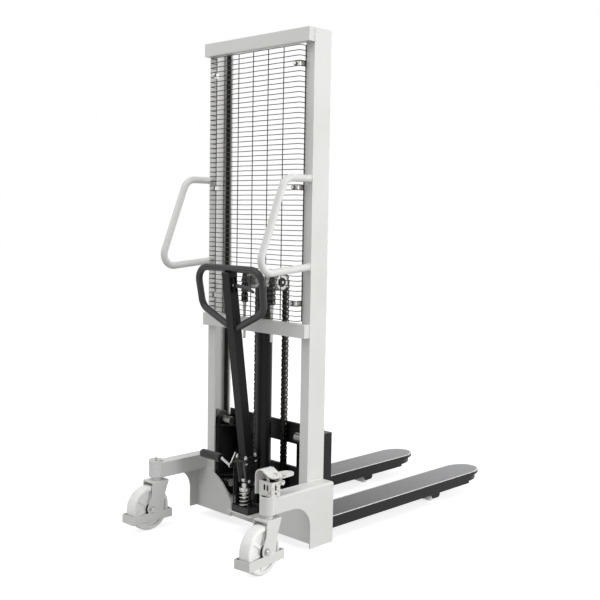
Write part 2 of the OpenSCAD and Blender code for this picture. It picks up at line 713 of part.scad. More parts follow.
// carriage frame: side plates by the uprights, two bars and their corner plates
plate_x = lip_x - 12.5;
side_plate_t = 8;
low_bar_top_z = 280;
carriage_low_z = 104;
module corner_plate() linear_extrude(6)
    polygon([[plate_x + eps, mast_y + 22], [plate_x + eps, carriage_y + eps],
        [plate_x - 76, carriage_y + eps]]);
module carriage_side() difference() {
    union() {
        along_x(plate_x, side_plate_t) union() {
            translate([mast_y + 12, carriage_low_z])
                square([carriage_y - mast_y - 12, shank_top_z - 22 - carriage_low_z]);
            translate([mast_y + 32, shank_top_z - 24]) square([carriage_y - mast_y - 32, 22]);
            translate([mast_y + 32, shank_top_z - 22]) circle(r = 20);
        }
        for (z = [398, 184]) translate([0, 0, z]) corner_plate();
    }
    for (z = [upper_roller_z, lower_roller_z])
        rod_x(plate_x - 10, 40, axle_r, roller_y, z);
}
module carriage_frame() color("black") {
    for (s = [-1, 1]) side_of(s) carriage_side();
    for (top = [bar_top_z, low_bar_top_z])
        block(-fork_x - fork_w / 2 + fork_t, fork_x + fork_w / 2 - fork_t, carriage_y,
            carriage_y + bar_t, top - bar_h - (top < 300 ? 20 : 0), top);
    for (s = [-1, 1]) side_of(s)
        block(pulley_x - chain_w / 2, pulley_x + chain_w / 2, carriage_run_y - 6, carriage_y + eps,
            chain_end_z - 22, chain_end_z);
}

// carriage axles: turned stubs through the side plates, one for each mast roller
module carriage_axle(z) {
    rod_x(plate_x - 50, 50, 17, roller_y, z);
    rod_x(plate_x - eps, half_w - web_t - 1 - plate_x, axle_r, roller_y, z);
}
module carriage_axles() color("silver")
    for (s = [-1, 1], z = [upper_roller_z, lower_roller_z]) side_of(s) carriage_axle(z);

module mast_roller(z) difference() {
    rod_x(roller_in_x, roller_w, roller_d / 2, roller_y, z);
    rod_x(roller_in_x - 1, roller_w + 2, axle_r + run_fit, roller_y, z);
}
module roller_upper_left() color("silver") side_of(-1) mast_roller(upper_roller_z);
module roller_upper_right() color("silver") mast_roller(upper_roller_z);
module roller_lower_left() color("silver") side_of(-1) mast_roller(lower_roller_z);
module roller_lower_right() color("silver") mast_roller(lower_roller_z);

// forks: pressed channels, open below over the straddle legs, each with a boxed upright
// the nose's plan: two wide arcs that run into one tight arc, and a lip that stands out over the skirt
nose_r = 62;
taper_r = 142;
lip_h = 14;
lip_out = 24;
tip_len = 138;
tip_rise = 10;
nose_back = sqrt(pow(taper_r - nose_r, 2) - pow(taper_r - fork_w / 2, 2));
touch_up = nose_back * taper_r / (taper_r - nose_r);
module blade_plan(inset, tip) {
    taper_y = tip - nose_r - nose_back;
    translate([fork_x - fork_w / 2 + inset, carriage_y + bar_t])
        square([fork_w - 2 * inset, taper_y - carriage_y - bar_t]);
    intersection() {
        translate([fork_x - taper_r + fork_w / 2, taper_y]) circle(r = taper_r - inset);
        translate([fork_x + taper_r - fork_w / 2, taper_y]) circle(r = taper_r - inset);
        translate([fork_x - fork_w, taper_y]) square([2 * fork_w, touch_up * (taper_r - inset) / taper_r]);
    }
    translate([fork_x, tip - nose_r]) circle(r = nose_r - inset);
}
module fork() {
    x0 = fork_x - fork_w / 2;
    x1 = fork_x + fork_w / 2;
    low = fork_top_z - fork_h;
    difference() {
        union() {
            translate([0, 0, low]) linear_extrude(fork_h) blade_plan(0, fork_tip - lip_out);
            translate([0, 0, fork_top_z - lip_h]) linear_extrude(lip_h) blade_plan(0, fork_tip);
        }
        translate([0, 0, low - 1]) linear_extrude(fork_h - fork_t + 1)
            blade_plan(fork_t, fork_tip - lip_out);
        block(x0 + fork_t, x1 - fork_t, carriage_y, shank_front, low - 1, fork_top_z - fork_t);
        block(x0 - 1, x1 + 1, fork_tip - tip_len, fork_tip + 1, low - 1, low + tip_rise);
    }
    difference() {
        block(x0, x1, carriage_y + bar_t, shank_front, fork_top_z - eps, shank_top_z);
        block(x0 + fork_t, x1 - fork_t, carriage_y, shank_front - 8, fork_top_z, shank_top_z - 6);
    }
    block(x1 - fork_t, x1, carriage_y, carriage_y + bar_t + eps, low, shank_top_z);
}
module fork_left() color("black") side_of(-1) fork();
module fork_right() color("black") fork();

// pump body: base block, pivot tower and the bracket that carries the lowering pedal
tower_y = mast_y - 9.5;
tower_r = 18.5;
lug_half = cheek_x - rest_gap;
pump_half_w = 45;
bracket_t = 5;
release_x = pedal_x - 4;
release_y = pedal_pin_y - 13;
release_r = 3;
release_low_z = plate_top_z + 14;
module pump_body() color("black") difference() {
    union() {
        block(-pump_half_w, pump_half_w, mast_y - 76, tower_y + tower_r, plate_top_z, pump_top_z);
        translate([0, tower_y, pump_top_z - eps])
            cylinder(h = pivot_z - 24 - pump_top_z, r = tower_r);
        along_x(-lug_half, 2 * lug_half) union() {
            translate([pivot_y, pivot_z]) circle(r = 13);
            translate([pivot_y - 9, pivot_z - 34]) square([26, 34]);
        }
        translate([0, plunger_y, pump_top_z - eps]) cylinder(h = collar_h + eps, r = 15);
        block(pedal_x, pedal_x + bracket_t, pedal_pin_y - 9, mast_y - 12, plate_top_z,
            pedal_pin_z - 60);
        along_x(pedal_x, bracket_t) union() {
            translate([pedal_pin_y - 9, pedal_pin_z - 61]) square([18, 61]);
            translate([pedal_pin_y, pedal_pin_z]) circle(r = 11);
        }
        block(pedal_x, -pump_half_w + bracket_t, pedal_pin_y - 9, mast_y - 12, plate_top_z, pump_top_z);
        translate([release_x, release_y, plate_top_z]) cylinder(h = 26, r = 8);
    }
    translate([0, plunger_y, plate_top_z + 4]) cylinder(h = 100, r = plunger_r + run_fit);
    rod_x(-40, 80, 8 + run_fit, pivot_y, pivot_z);
    rod_x(pedal_x - 10, 20, 5, pedal_pin_y, pedal_pin_z);
    translate([release_x, release_y, plate_top_z + 6]) cylinder(h = 60, r = release_r + rest_gap);
}

// pressure pipe: bent from a fitting on the pump block round to the cylinder's foot
pipe_r = 5;
pipe_z = pump_top_z + 10;
pipe_start_x = 30;
pipe_back_y = mast_y - 30;
pipe_front_y = cyl_y - 6;
pipe_side_x = 56;
module pressure_pipe() color("silver") {
    translate([0, 0, pipe_z])
        bent_rod([[pipe_start_x, pipe_back_y], [pipe_side_x, pipe_back_y],
            [pipe_side_x, pipe_front_y], [cyl_d / 2, pipe_front_y]], [0, 14, 14, 0], pipe_r);
    translate([pipe_start_x, pipe_back_y, pump_top_z]) cylinder(h = 18, r = 8);
}

// pivot pins: the tiller's pin and the lowering pedal's pin
module pivot_pins() color("silver") {
    rod_x(-cheek_x - cheek_t - 4, 2 * (cheek_x + cheek_t + 4), 8, pivot_y, pivot_z);
    for (x = [-cheek_x - cheek_t - 5, cheek_x + cheek_t + 1])
        rod_x(x, 4, 11, pivot_y, pivot_z);
    rod_x(pedal_x - 9, bracket_t + 12, 5, pedal_pin_y, pedal_pin_z);
    rod_x(pedal_x - 10, 3, 8, pedal_pin_y, pedal_pin_z);
}

// tiller, drawn about its pivot and leaned back
module at_tiller() translate([0, pivot_y, pivot_z]) rotate([lean, 0, 0]) children();
push_y = plunger_y - pivot_y;
push_z = push_roller_z - pivot_z;
push_local = [push_y * cos(lean) + push_z * sin(lean), -push_y * sin(lean) + push_z * cos(lean)];
base_half = 34;
module handle_base() color("black") at_tiller() difference() {
    union() {
        for (x = [-cheek_x - cheek_t, cheek_x])
            along_x(x, cheek_t) union() {
                circle(r = 17);
                translate(push_local) circle(r = 14);
                polygon([[16, 4], [tiller_off + base_half, flange_s + eps],
                    [tiller_off - base_half, flange_s + eps], push_local + [-13, 5],
                    push_local + [-3, -13], [-8, -15]]);
            }
        along_x(-cheek_x - eps, 2 * (cheek_x + eps))
            polygon([[tiller_off - 8, 46], [tiller_off + 8, 46], [tiller_off + 26, flange_s + eps],
                [tiller_off - 26, flange_s + eps]]);
        block(-base_half, base_half, tiller_off - base_half, tiller_off + base_half, flange_s,
            flange_s + flange_h);
    }
    rod_x(-60, 120, 8 + run_fit, 0, 0);
    rod_x(-60, 120, 5, push_local[0], push_local[1]);
    for (x = [-bolt_at, bolt_at], y = [-bolt_at, bolt_at])
        translate([x, tiller_off + y, flange_s - 20]) cylinder(h = flange_h + 30, r = 4.2);
}
module tiller_roller() color("silver") at_tiller() difference() {
    rod_x(-cheek_x + rest_gap, 2 * (cheek_x - rest_gap), push_roller_r, push_local[0], push_local[1]);
    rod_x(-cheek_x, 2 * cheek_x, 5 + run_fit, push_local[0], push_local[1]);
}

// handle bolts, with the roller's pin and the finger lever's pin
module handle_bolts() color("silver") at_tiller() {
    for (x = [-bolt_at, bolt_at], y = [-bolt_at, bolt_at]) translate([x, tiller_off + y, 0]) {
        translate([0, 0, flange_s - 4]) cylinder(h = flange_h + 8 + eps, r = 4);
        translate([0, 0, flange_s + flange_h + 4]) cylinder(h = 6, r = 7.5, $fn = 6);
    }
    rod_x(-cheek_x - cheek_t - 1, 2 * (cheek_x + cheek_t + 1), 5, push_local[0], push_local[1]);
    translate([lever_in_x, tiller_off + ear_out + 1, lever_s]) rotate([90, 0, 0])
        cylinder(h = 2 * ear_out + 2, r = lever_pin_r);
}

// tiller tube: a square tube with its foot plate below and the finger lever's two ears near the top
foot_plate_t = 4;
tube_low = flange_s + flange_h;
tube_high = loop_top - loop_d / 2;
tube_wall = 3;
lever_s = loop_top - 63;
lever_in_x = tiller_w / 2 + 7;
lever_pin_r = 2.5;
ear_in = 5;
ear_out = 9;
module tiller_tube() color("black") at_tiller() difference() {
    union() {
        block(-base_half, base_half, tiller_off - base_half, tiller_off + base_half, tube_low,
            tube_low + foot_plate_t);
        block(-tiller_w / 2, tiller_w / 2, tiller_off - tiller_w / 2, tiller_off + tiller_w / 2,
            tube_low, tube_high);
        for (y = [-ear_out, ear_in])
            block(tiller_w / 2 - eps, tiller_w / 2 + 13, tiller_off + y,
                tiller_off + y + ear_out - ear_in, lever_s - 29, lever_s + 29);
    }
    block(-tiller_w / 2 + tube_wall, tiller_w / 2 - tube_wall, tiller_off - tiller_w / 2 + tube_wall,
        tiller_off + tiller_w / 2 - tube_wall, tube_low - 1, tube_high - tube_wall);
    for (x = [-bolt_at, bolt_at], y = [-bolt_at, bolt_at])
        translate([x, tiller_off + y, tube_low - 5]) cylinder(h = 20, r = 4.2);
    translate([lever_in_x, tiller_off + 20, lever_s]) rotate([90, 0, 0])
        cylinder(h = 40, r = lever_pin_r);
}

loop_drop = 160;
loop_low = loop_top - loop_drop;
loop_neck = 76;
loop_taper = 12;
module tiller_loop() color("dimgray") at_tiller() difference() {
    translate([0, tiller_off, 0]) rotate([90, 0, 0])
        bent_rod([[tiller_w / 2 - 4, loop_low - loop_neck], [loop_half_w - loop_taper, loop_low],
            [loop_half_w, loop_top], [-loop_half_w, loop_top], [-loop_half_w + loop_taper, loop_low],
            [-tiller_w / 2 + 4, loop_low - loop_neck]], [0, 50, 58, 58, 50, 0], loop_d / 2);
    block(-tiller_w / 2, tiller_w / 2, tiller_off - 40, tiller_off + 40, loop_low - 130, tube_high);
}

// finger lever: a bent paddle between the two ears on the tiller
lever_tip_x = tiller_w / 2 + lever_len;
module finger_lever() color("black") at_tiller() difference() {
    translate([0, tiller_off + ear_in - rest_gap, 0]) rotate([90, 0, 0])
        linear_extrude(2 * (ear_in - rest_gap)) union() {
            translate([lever_in_x, lever_s]) circle(r = 6.5);
            polygon([[lever_in_x, lever_s + 6], [lever_in_x, lever_s - 6],
                [lever_in_x + 6, lever_s - 8], [lever_tip_x - 30, lever_s - 14],
                [lever_tip_x, lever_s - 26], [lever_tip_x + 3, lever_s - 20],
                [lever_tip_x - 27, lever_s - 4]]);
        }
    translate([lever_in_x, tiller_off + 20, lever_s]) rotate([90, 0, 0])
        cylinder(h = 40, r = lever_pin_r + run_fit);
}

// pump plunger: a cap and a spring seat on a stem that slides in the pump's collar
plunger_low_z = plate_top_z + 5 + plunger_stroke;
module pump_plunger() color("silver") translate([0, plunger_y, 0]) {
    translate([0, 0, plunger_low_z]) cylinder(h = plunger_top_z - plunger_low_z, r = plunger_r);
    translate([0, 0, spring_top_z]) cylinder(h = 11, r = 22);
    translate([0, 0, spring_top_z + 10]) cylinder(h = plunger_top_z - spring_top_z - 10, r = 12);
}

// pump spring: one wire wound from the block up to the plunger's seat, with a flat turn at each end
spring_mean = (spring_d - spring_wire) / 2;
ring_steps = 8;
wire_sides = 6;
flat_share = 0.12;
spring_rings = ring_steps * spring_coils;
wire_half_h = spring_wire / 2 * sin(60);
spring_low_z = pump_top_z + rest_gap + wire_half_h;
spring_rise = spring_top_z - rest_gap - wire_half_h - spring_low_z;
function climb(t) = t < flat_share ? 0 : t > 1 - flat_share ? 1
    : (t - flat_share) / (1 - 2 * flat_share);
function wire_centre(i) = let (t = i / spring_rings, a = 360 * spring_coils * t)
    [spring_mean * cos(a), spring_mean * sin(a), spring_low_z + spring_rise * climb(t)];
function wire_ring(i) = let (a = 360 * i / ring_steps, c = wire_centre(i))
    [for (k = [0 : wire_sides - 1]) let (b = 360 * k / wire_sides, r = spring_wire / 2)
        c + [r * cos(b) * cos(a), r * cos(b) * sin(a), r * sin(b)]];
spring_points = [for (i = [0 : spring_rings]) each wire_ring(i)];
spring_faces = [
    for (i = [0 : spring_rings - 1], k = [0 : wire_sides - 1])
        let (j = (k + 1) % wire_sides, a = i * wire_sides, b = a + wire_sides)
            each [[a + k, a + j, b + j], [a + k, b + j, b + k]],
    for (k = [1 : wire_sides - 2]) each [[0, k + 1, k],
        [spring_rings * wire_sides, spring_rings * wire_sides + k, spring_rings * wire_sides + k + 1]]
];
spring_gap = min([for (i = [0 : spring_rings - ring_steps + 1], j = [i + ring_steps - 1 : spring_rings])
    norm(wire_centre(i) - wire_centre(j)) - spring_wire]);
module pump_spring() {
    echo(str("least gap of the spring to itself: ", spring_gap, " mm"));
    color("silver") translate([0, plunger_y, 0]) polyhedron(points = spring_points,
        faces = spring_faces, convexity = 8);
}

// lowering pedal: a lever plate, a bent rod and its rubber grip
module strut(a, b, r) {
    d = b - a;
    translate(a) rotate([0, acos(d[2] / norm(d)), atan2(d[1], d[0])]) cylinder(h = norm(d), r = r);
}
knot = [pedal_x - 9, pedal_pin_y - 33, pedal_pin_z - 2];
elbow = [grip_right_x + 6, grip_y, grip_z];
module pedal_arm() color("silver") {
    difference() {
        union() {
            along_x(pedal_x - 6 - rest_gap, 6) union() {
                translate([pedal_pin_y, pedal_pin_z]) circle(r = 12);
                translate([pedal_pin_y - 33, pedal_pin_z - 2]) circle(r = 9);
                polygon([[pedal_pin_y, pedal_pin_z + 12], [pedal_pin_y, pedal_pin_z - 12],
                    [pedal_pin_y - 33, pedal_pin_z - 11], [pedal_pin_y - 33, pedal_pin_z + 7]]);
                polygon([[pedal_pin_y - 36, pedal_pin_z + 2], [pedal_pin_y - 26, pedal_pin_z + 2],
                    [pedal_pin_y - 2, pedal_pin_z + 46], [pedal_pin_y - 8, pedal_pin_z + 48]]);
            }
        }
        rod_x(pedal_x - 20, 40, 5 + run_fit, pedal_pin_y, pedal_pin_z);
    }
    strut(knot + [4, 0, 0], elbow, 6);
    translate(elbow) sphere(r = 7);
    rod_x(grip_right_x - grip_len + 8, grip_len - 2, 6, grip_y, grip_z);
}
module pedal_grip() color("black") difference() {
    rod_x(grip_right_x - grip_len, grip_len, grip_d / 2, grip_y, grip_z);
    rod_x(grip_right_x - grip_len + 8 - eps, grip_len, 6, grip_y, grip_z);
}

// release rod: from the pedal's lever down to the lowering valve
release_top_z = pedal_pin_z - 12 - rest_gap;
module release_rod() color("silver") translate([release_x, release_y, release_low_z])
    cylinder(h = release_top_z - release_low_z, r = release_r);

mast_upright_left();
mast_upright_right();
top_beam();
mid_beam();
mesh_guard();
mesh_clips();
grab_handle_left();
grab_handle_right();
side_frame_left();
side_frame_right();
gussets();
base_plate();
straddle_leg_left();
straddle_leg_right();
castor_housing_left();
castor_housing_right();
swivel_bearings();
housing_cap();
brake_bracket();
lift_cylinder();
pump_body();
pressure_pipe();
pivot_pins();
chain_anchors();
carriage_frame();
fork_left();
fork_right();
carriage_axles();
roller_upper_left();
roller_upper_right();
roller_lower_left();
roller_lower_right();
piston_rod();
crosshead();
pulley_left();
pulley_right();
chain_fixed_runs();
chain_carriage_runs();
chain_over_pulleys();
load_roller_left();
load_roller_right();
castor_fork_left();
castor_fork_right();
castor_wheel_left();
castor_wheel_right();
castor_axle_left();
castor_axle_right();
handle_base();
handle_bolts();
tiller_tube();
tiller_loop();
finger_lever();
tiller_roller();
pump_plunger();
pump_spring();
pedal_arm();
pedal_grip();
brake_pedal();
brake_rod();
release_rod();
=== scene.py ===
import json
import math

import bmesh
import bpy
from mathutils import Matrix, Vector, noise


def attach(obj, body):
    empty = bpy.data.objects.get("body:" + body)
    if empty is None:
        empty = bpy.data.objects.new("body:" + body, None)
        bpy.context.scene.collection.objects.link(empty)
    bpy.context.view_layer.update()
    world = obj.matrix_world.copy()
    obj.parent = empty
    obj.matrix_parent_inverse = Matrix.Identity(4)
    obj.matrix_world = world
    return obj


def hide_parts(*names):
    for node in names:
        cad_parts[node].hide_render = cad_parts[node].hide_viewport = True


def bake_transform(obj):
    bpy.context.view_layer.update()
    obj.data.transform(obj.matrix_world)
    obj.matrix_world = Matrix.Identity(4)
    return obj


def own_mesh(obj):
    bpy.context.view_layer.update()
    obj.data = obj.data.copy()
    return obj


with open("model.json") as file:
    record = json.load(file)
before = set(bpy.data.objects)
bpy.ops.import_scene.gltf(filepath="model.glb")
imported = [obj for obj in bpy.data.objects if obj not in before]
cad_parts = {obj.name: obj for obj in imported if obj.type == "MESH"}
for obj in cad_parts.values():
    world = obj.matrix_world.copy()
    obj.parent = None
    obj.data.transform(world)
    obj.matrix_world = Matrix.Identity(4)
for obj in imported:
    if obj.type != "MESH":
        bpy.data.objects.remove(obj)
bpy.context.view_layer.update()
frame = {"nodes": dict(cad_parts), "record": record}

# CAMERA. A long lens at hand height, behind the truck and to the right of its driver.
# The place, turn and focal length were solved from the mast, beams, wheels and forks of the photograph.
CAMERA_PLACE = Vector((2.7467, -2.9823, 1.2904))
CAMERA_TURN = math.radians(44.52)
CAMERA_RISE = math.radians(5.12)
CAMERA_ROLL = math.radians(0.97)
FOCAL_MM = 56.59
SENSOR_MM = 36
lens = bpy.data.cameras.new("camera")
lens.lens = FOCAL_MM
lens.sensor_width = SENSOR_MM
camera = bpy.data.objects.new("camera", lens)
bpy.context.scene.collection.objects.link(camera)
right = Vector((math.cos(CAMERA_TURN), math.sin(CAMERA_TURN), 0))
back = Vector((math.sin(CAMERA_TURN) * math.cos(CAMERA_RISE),
               -math.cos(CAMERA_TURN) * math.cos(CAMERA_RISE), math.sin(CAMERA_RISE)))
up = back.cross(right)
side = right * math.cos(CAMERA_ROLL) + up * math.sin(CAMERA_ROLL)
top = up * math.cos(CAMERA_ROLL) - right * math.sin(CAMERA_ROLL)
turned = Matrix((side, top, back)).transposed().to_4x4()
camera.matrix_world = Matrix.Translation(CAMERA_PLACE) @ turned
bpy.context.scene.camera = camera
bpy.context.scene.view_settings.view_transform = "Standard"


# STUDIO. A white sweep, a large soft lamp at the right, one overhead, and weak ones behind and in front.
# The faces turned to the operator get only soft light, as in the photograph.
# The floor's own glow keeps it white around the truck, and its diffuse share keeps the shadow.
def linear(code):
    parts = [int(code[i:i + 2], 16) / 255 for i in (1, 3, 5)]
    return [p / 12.92 if p <= 0.04045 else ((p + 0.055) / 1.055) ** 2.4 for p in parts] + [1.0]


def add_node(tree, kind, settings=None, inputs=None):
    node = tree.nodes.new(kind)
    for name, value in (settings or {}).items():
        setattr(node, name, value)
    for name, value in (inputs or {}).items():
        if isinstance(value, bpy.types.NodeSocket):
            tree.links.new(value, node.inputs[name])
        else:
            node.inputs[name].default_value = value
    return node


def new_tree(name):
    material = bpy.data.materials.new(name)
    material.use_nodes = True
    material.node_tree.nodes.clear()
    return material, material.node_tree


def put_out(tree, shader):
    add_node(tree, "ShaderNodeOutputMaterial", inputs={"Surface": shader})


def seen_or_mirrored(tree):
    path = add_node(tree, "ShaderNodeLightPath")
    either = add_node(tree, "ShaderNodeMath", {"operation": "MAXIMUM"},
                      {0: path.outputs["Is Camera Ray"], 1: path.outputs["Is Glossy Ray"]})
    return either.outputs[0]


FLOOR_HALF = 30
SWEEP_GLOW = 0.76
ROOM_LIGHT = 0.54
floor_mesh = bpy.data.meshes.new("floor")
floor_corners = [(x * FLOOR_HALF, y * FLOOR_HALF, 0) for x, y in ((-1, -1), (1, -1), (1, 1), (-1, 1))]
floor_mesh.from_pydata(floor_corners, [], [(0, 1, 2, 3)])
floor = bpy.data.objects.new("floor", floor_mesh)
bpy.context.scene.collection.objects.link(floor)
sweep, tree = new_tree("white_paper_sweep")
paper = add_node(tree, "ShaderNodeBsdfDiffuse", inputs={"Color": linear("#B4B4B4")})
glow = add_node(tree, "ShaderNodeEmission", inputs={"Color": linear("#FFFFFF"), "Strength": SWEEP_GLOW})
lit = add_node(tree, "ShaderNodeAddShader", inputs={0: paper.outputs[0], 1: glow.outputs[0]})
both = add_node(tree, "ShaderNodeMixShader",
                inputs={0: seen_or_mirrored(tree), 1: paper.outputs[0], 2: lit.outputs[0]})
put_out(tree, both.outputs[0])
floor_mesh.materials.append(sweep)

world = bpy.data.worlds.new("studio")
bpy.context.scene.world = world
world.use_nodes = True
tree = world.node_tree
tree.nodes.clear()
strength = add_node(tree, "ShaderNodeMapRange",
                    inputs={"Value": seen_or_mirrored(tree), "To Min": ROOM_LIGHT, "To Max": 1.0})
sky = add_node(tree, "ShaderNodeBackground",
               inputs={"Color": linear("#FFFFFF"), "Strength": strength.outputs[0]})
add_node(tree, "ShaderNodeOutputWorld", inputs={"Surface": sky.outputs[0]})


def add_lamp(name, place, target, size, power):
    lamp = bpy.data.lights.new(name, "AREA")
    lamp.shape = "SQUARE"
    lamp.size = size
    lamp.energy = power
    holder = bpy.data.objects.new(name, lamp)
    bpy.context.scene.collection.objects.link(holder)
    aim = Vector(target) - Vector(place)
    holder.matrix_world = (Matrix.Translation(place)
                           @ aim.to_track_quat("-Z", "Y").to_matrix().to_4x4())


add_lamp("key_lamp", (9.0, 2.6, 3.6), (0, -0.3, 0.9), 4.5, 570)
add_lamp("top_lamp", (0.4, -2.4, 5.6), (0, -0.4, 0.6), 3.4, 105)
add_lamp("fill_lamp", (-2.6, -4.6, 3.4), (0, -0.4, 0.9), 3.0, 45)
add_lamp("front_lamp", (1.6, 7.2, 2.3), (0, -0.3, 0.9), 3.4, 160)

# WELDED CHASSIS. Rolled channels, rectangular tube and pressed plate, welded and then coated in one go.
# Powder coat is a baked polyester skin: satin, faintly orange-peeled, and round over every sheared edge.
# The flange faces inside the channel are painted a darker grey as painted shade, with a black band along
# the rollers' track.
MAST_Y = -0.4355
MAST_D = 0.090
MAST_H = 1.980
HALF_W = 0.2975
LIP_X = 0.2525
WEB_X = 0.2915
CASTOR_X = 0.334
CASTOR_Y = MAST_Y - 0.242
ARM_LOW = 0.212
ARM_TOP = 0.274
CHASSIS_EDGE = 0.0016
SAME_PLACE = 2e-5
TINY_EDGE = 2e-6
FLAT_TURN = math.radians(0.6)
EDGE_TURN = math.radians(40)
bodies = frame["record"]["behaviour"]["bodies"]
body_of = {node: body for body, nodes in bodies.items() for node in nodes}


def place_piece(name, mesh, node, bends=False):
    piece = bpy.data.objects.new(name, mesh)
    bpy.context.scene.collection.objects.link(piece)
    if not bends:
        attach(piece, body_of[node])
    return piece


def shade(piece, sharp):
    mesh = piece.data
    mesh.polygons.foreach_set("use_smooth", [True] * len(mesh.polygons))
    mesh.set_sharp_from_angle(angle=math.radians(sharp))
    weights = piece.modifiers.new("weights", "WEIGHTED_NORMAL")
    weights.keep_sharp = True
    weights.weight = 100


def round_edges(grid, width, material=0):
    edges = [e for e in grid.edges if e.is_manifold and e.calc_face_angle() > EDGE_TURN]
    bmesh.ops.bevel(grid, geom=edges, offset=width, offset_type="OFFSET", segments=2, profile=0.6,
                    affect="EDGES", clamp_overlap=True, material=material)


def soften(node, width, *materials, choose=None, prepare=None):
    grid = bmesh.new()
    grid.from_mesh(frame["nodes"][node].data)
    bmesh.ops.remove_doubles(grid, verts=grid.verts, dist=SAME_PLACE)
    bmesh.ops.dissolve_limit(grid, angle_limit=FLAT_TURN, verts=grid.verts, edges=grid.edges)
    for face in grid.faces:
        face.material_index = 0
    if prepare:
        prepare(grid)
    if width:
        round_edges(grid, width, 1 if len(materials) > 1 else 0)
    bmesh.ops.dissolve_degenerate(grid, dist=TINY_EDGE, edges=grid.edges)
    bmesh.ops.triangulate(grid, faces=[f for f in grid.faces if len(f.verts) > 4])
    grid.normal_update()
    if choose:
        for face in grid.faces:
            face.material_index = choose(face.calc_center_median(), face.normal, face.material_index)
    return finish_grid(node + "_finished", grid, node, materials, by_hand=False)


def finish_grid(name, grid, node, materials, replaced=None, bends=False, sharp=50, by_hand=True):
    if by_hand:
        bmesh.ops.recalc_face_normals(grid, faces=grid.faces)
    mesh = bpy.data.meshes.new(name)
    grid.to_mesh(mesh)
    grid.free()
    for material in materials:
        mesh.materials.append(material)
    piece = place_piece(name, mesh, node, bends)
    shade(piece, sharp)
    nodes = [node] if replaced is None else replaced
    if nodes:
        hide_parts(*nodes)
    return piece


def coated_steel(name, colour, dust_colour, roughness, peel, peel_size=0.0014, cloud_size=0.3,
                 gloss=0.5):
    material, tree = new_tree(name)
    place = add_node(tree, "ShaderNodeTexCoord").outputs["Object"]
    cloud = add_node(tree, "ShaderNodeTexNoise",
                     inputs={"Vector": place, "Scale": 1 / cloud_size, "Detail": 5.0})
    tone = add_node(tree, "ShaderNodeMapRange",
                    inputs={"Value": cloud.outputs["Fac"], "From Min": 0.35, "From Max": 0.7})
    mix = add_node(tree, "ShaderNodeMix", {"data_type": "RGBA"},
                   {"Factor": tone.outputs[0], 6: linear(colour), 7: linear(dust_colour)})
    grain = add_node(tree, "ShaderNodeTexNoise",
                     inputs={"Vector": place, "Scale": 1 / peel_size, "Detail": 2.0, "Roughness": 0.6})
    rough = add_node(tree, "ShaderNodeMapRange",
                     inputs={"Value": cloud.outputs["Fac"], "To Min": roughness - 0.07,
                             "To Max": roughness + 0.08})
    bump = add_node(tree, "ShaderNodeBump",
                    inputs={"Strength": peel, "Distance": 0.0004, "Height": grain.outputs["Fac"]})
    skin = add_node(tree, "ShaderNodeBsdfPrincipled",
                    inputs={"Base Color": mix.outputs[2], "Roughness": rough.outputs[0], "IOR": 1.5,
                            "Specular IOR Level": gloss, "Normal": bump.outputs[0]})
    put_out(tree, skin.outputs[0])
    return material


powder_coat = coated_steel("light_grey_powder_coat", "#D3D3D1", "#CCCCC9", roughness=0.42, peel=0.25)
# Rounded edges and weld beads take a paler copy of the coat, a painted highlight.
powder_coat_edge_highlight = coated_steel("light_grey_powder_coat_edge_highlight", "#DEDEDC", "#D6D6D4", roughness=0.36,
                           peel=0.15)
# Channel flanges: a darker grey as painted shade, with a black band across the middle of each flange.
channel_shade_band, tree = new_tree("channel_flange_painted_shade_and_band")
place = add_node(tree, "ShaderNodeTexCoord").outputs["Object"]
across = add_node(tree, "ShaderNodeSeparateXYZ", inputs={"Vector": place})
reach = add_node(tree, "ShaderNodeMath", {"operation": "ABSOLUTE"}, {0: across.outputs["X"]})
band_wobble = add_node(tree, "ShaderNodeTexNoise", inputs={"Vector": place, "Scale": 30.0, "Detail": 3.0})
drift = add_node(tree, "ShaderNodeMath", {"operation": "MULTIPLY_ADD"},
                 {0: band_wobble.outputs["Fac"], 1: 0.004, 2: reach.outputs[0]})
near = add_node(tree, "ShaderNodeMapRange", {"interpolation_type": "SMOOTHSTEP"},
                {"Value": drift.outputs[0], "From Min": LIP_X + 0.006, "From Max": LIP_X + 0.016})
far = add_node(tree, "ShaderNodeMapRange", {"interpolation_type": "SMOOTHSTEP"},
               {"Value": drift.outputs[0], "From Min": WEB_X - 0.005, "From Max": WEB_X + 0.002,
                "To Min": 1.0, "To Max": 0.0})
dark_band = add_node(tree, "ShaderNodeMath", {"operation": "MULTIPLY"},
                  {0: near.outputs[0], 1: far.outputs[0]})
tone = add_node(tree, "ShaderNodeMix", {"data_type": "RGBA"},
                {"Factor": dark_band.outputs[0], 6: linear("#B4B4B2"), 7: linear("#151412")})
skin = add_node(tree, "ShaderNodeBsdfPrincipled",
                inputs={"Base Color": tone.outputs[2], "Roughness": 0.4, "IOR": 1.5,
                        "Specular IOR Level": 0.25})
put_out(tree, skin.outputs[0])
TRACK_SLACK = 0.001
FLANGE_SKIN = 0.003


# Flange faces inside the channel get the painted shade and band material.
def track_inside(centre, normal, index):
    on_flange = LIP_X < abs(centre.x) < WEB_X + TRACK_SLACK and abs(normal.y) > 0.9
    between = FLANGE_SKIN < centre.y - MAST_Y < MAST_D - FLANGE_SKIN
    return 2 if on_flange and between else index


for node in ("mast_upright_left", "mast_upright_right"):
    soften(node, CHASSIS_EDGE, powder_coat, powder_coat_edge_highlight, channel_shade_band, choose=track_inside)
for node in ("top_beam", "mid_beam", "side_frame_left", "side_frame_right", "gussets", "base_plate",
             "castor_housing_left", "castor_housing_right", "grab_handle_left", "grab_handle_right"):
    soften(node, CHASSIS_EDGE, powder_coat, powder_coat_edge_highlight)


# WELD BEADS. Short runs of wire-fed weld hold the beams, arms, housings and handles to the uprights.
# The bead is a row of overlapping scales about 2.5 mm long, coated with the rest, and drawn in the paler
# edge coat as a painted highlight.
def around(count, shift=0.0):
    return [2 * math.pi * (k + shift) / count for k in range(count)]


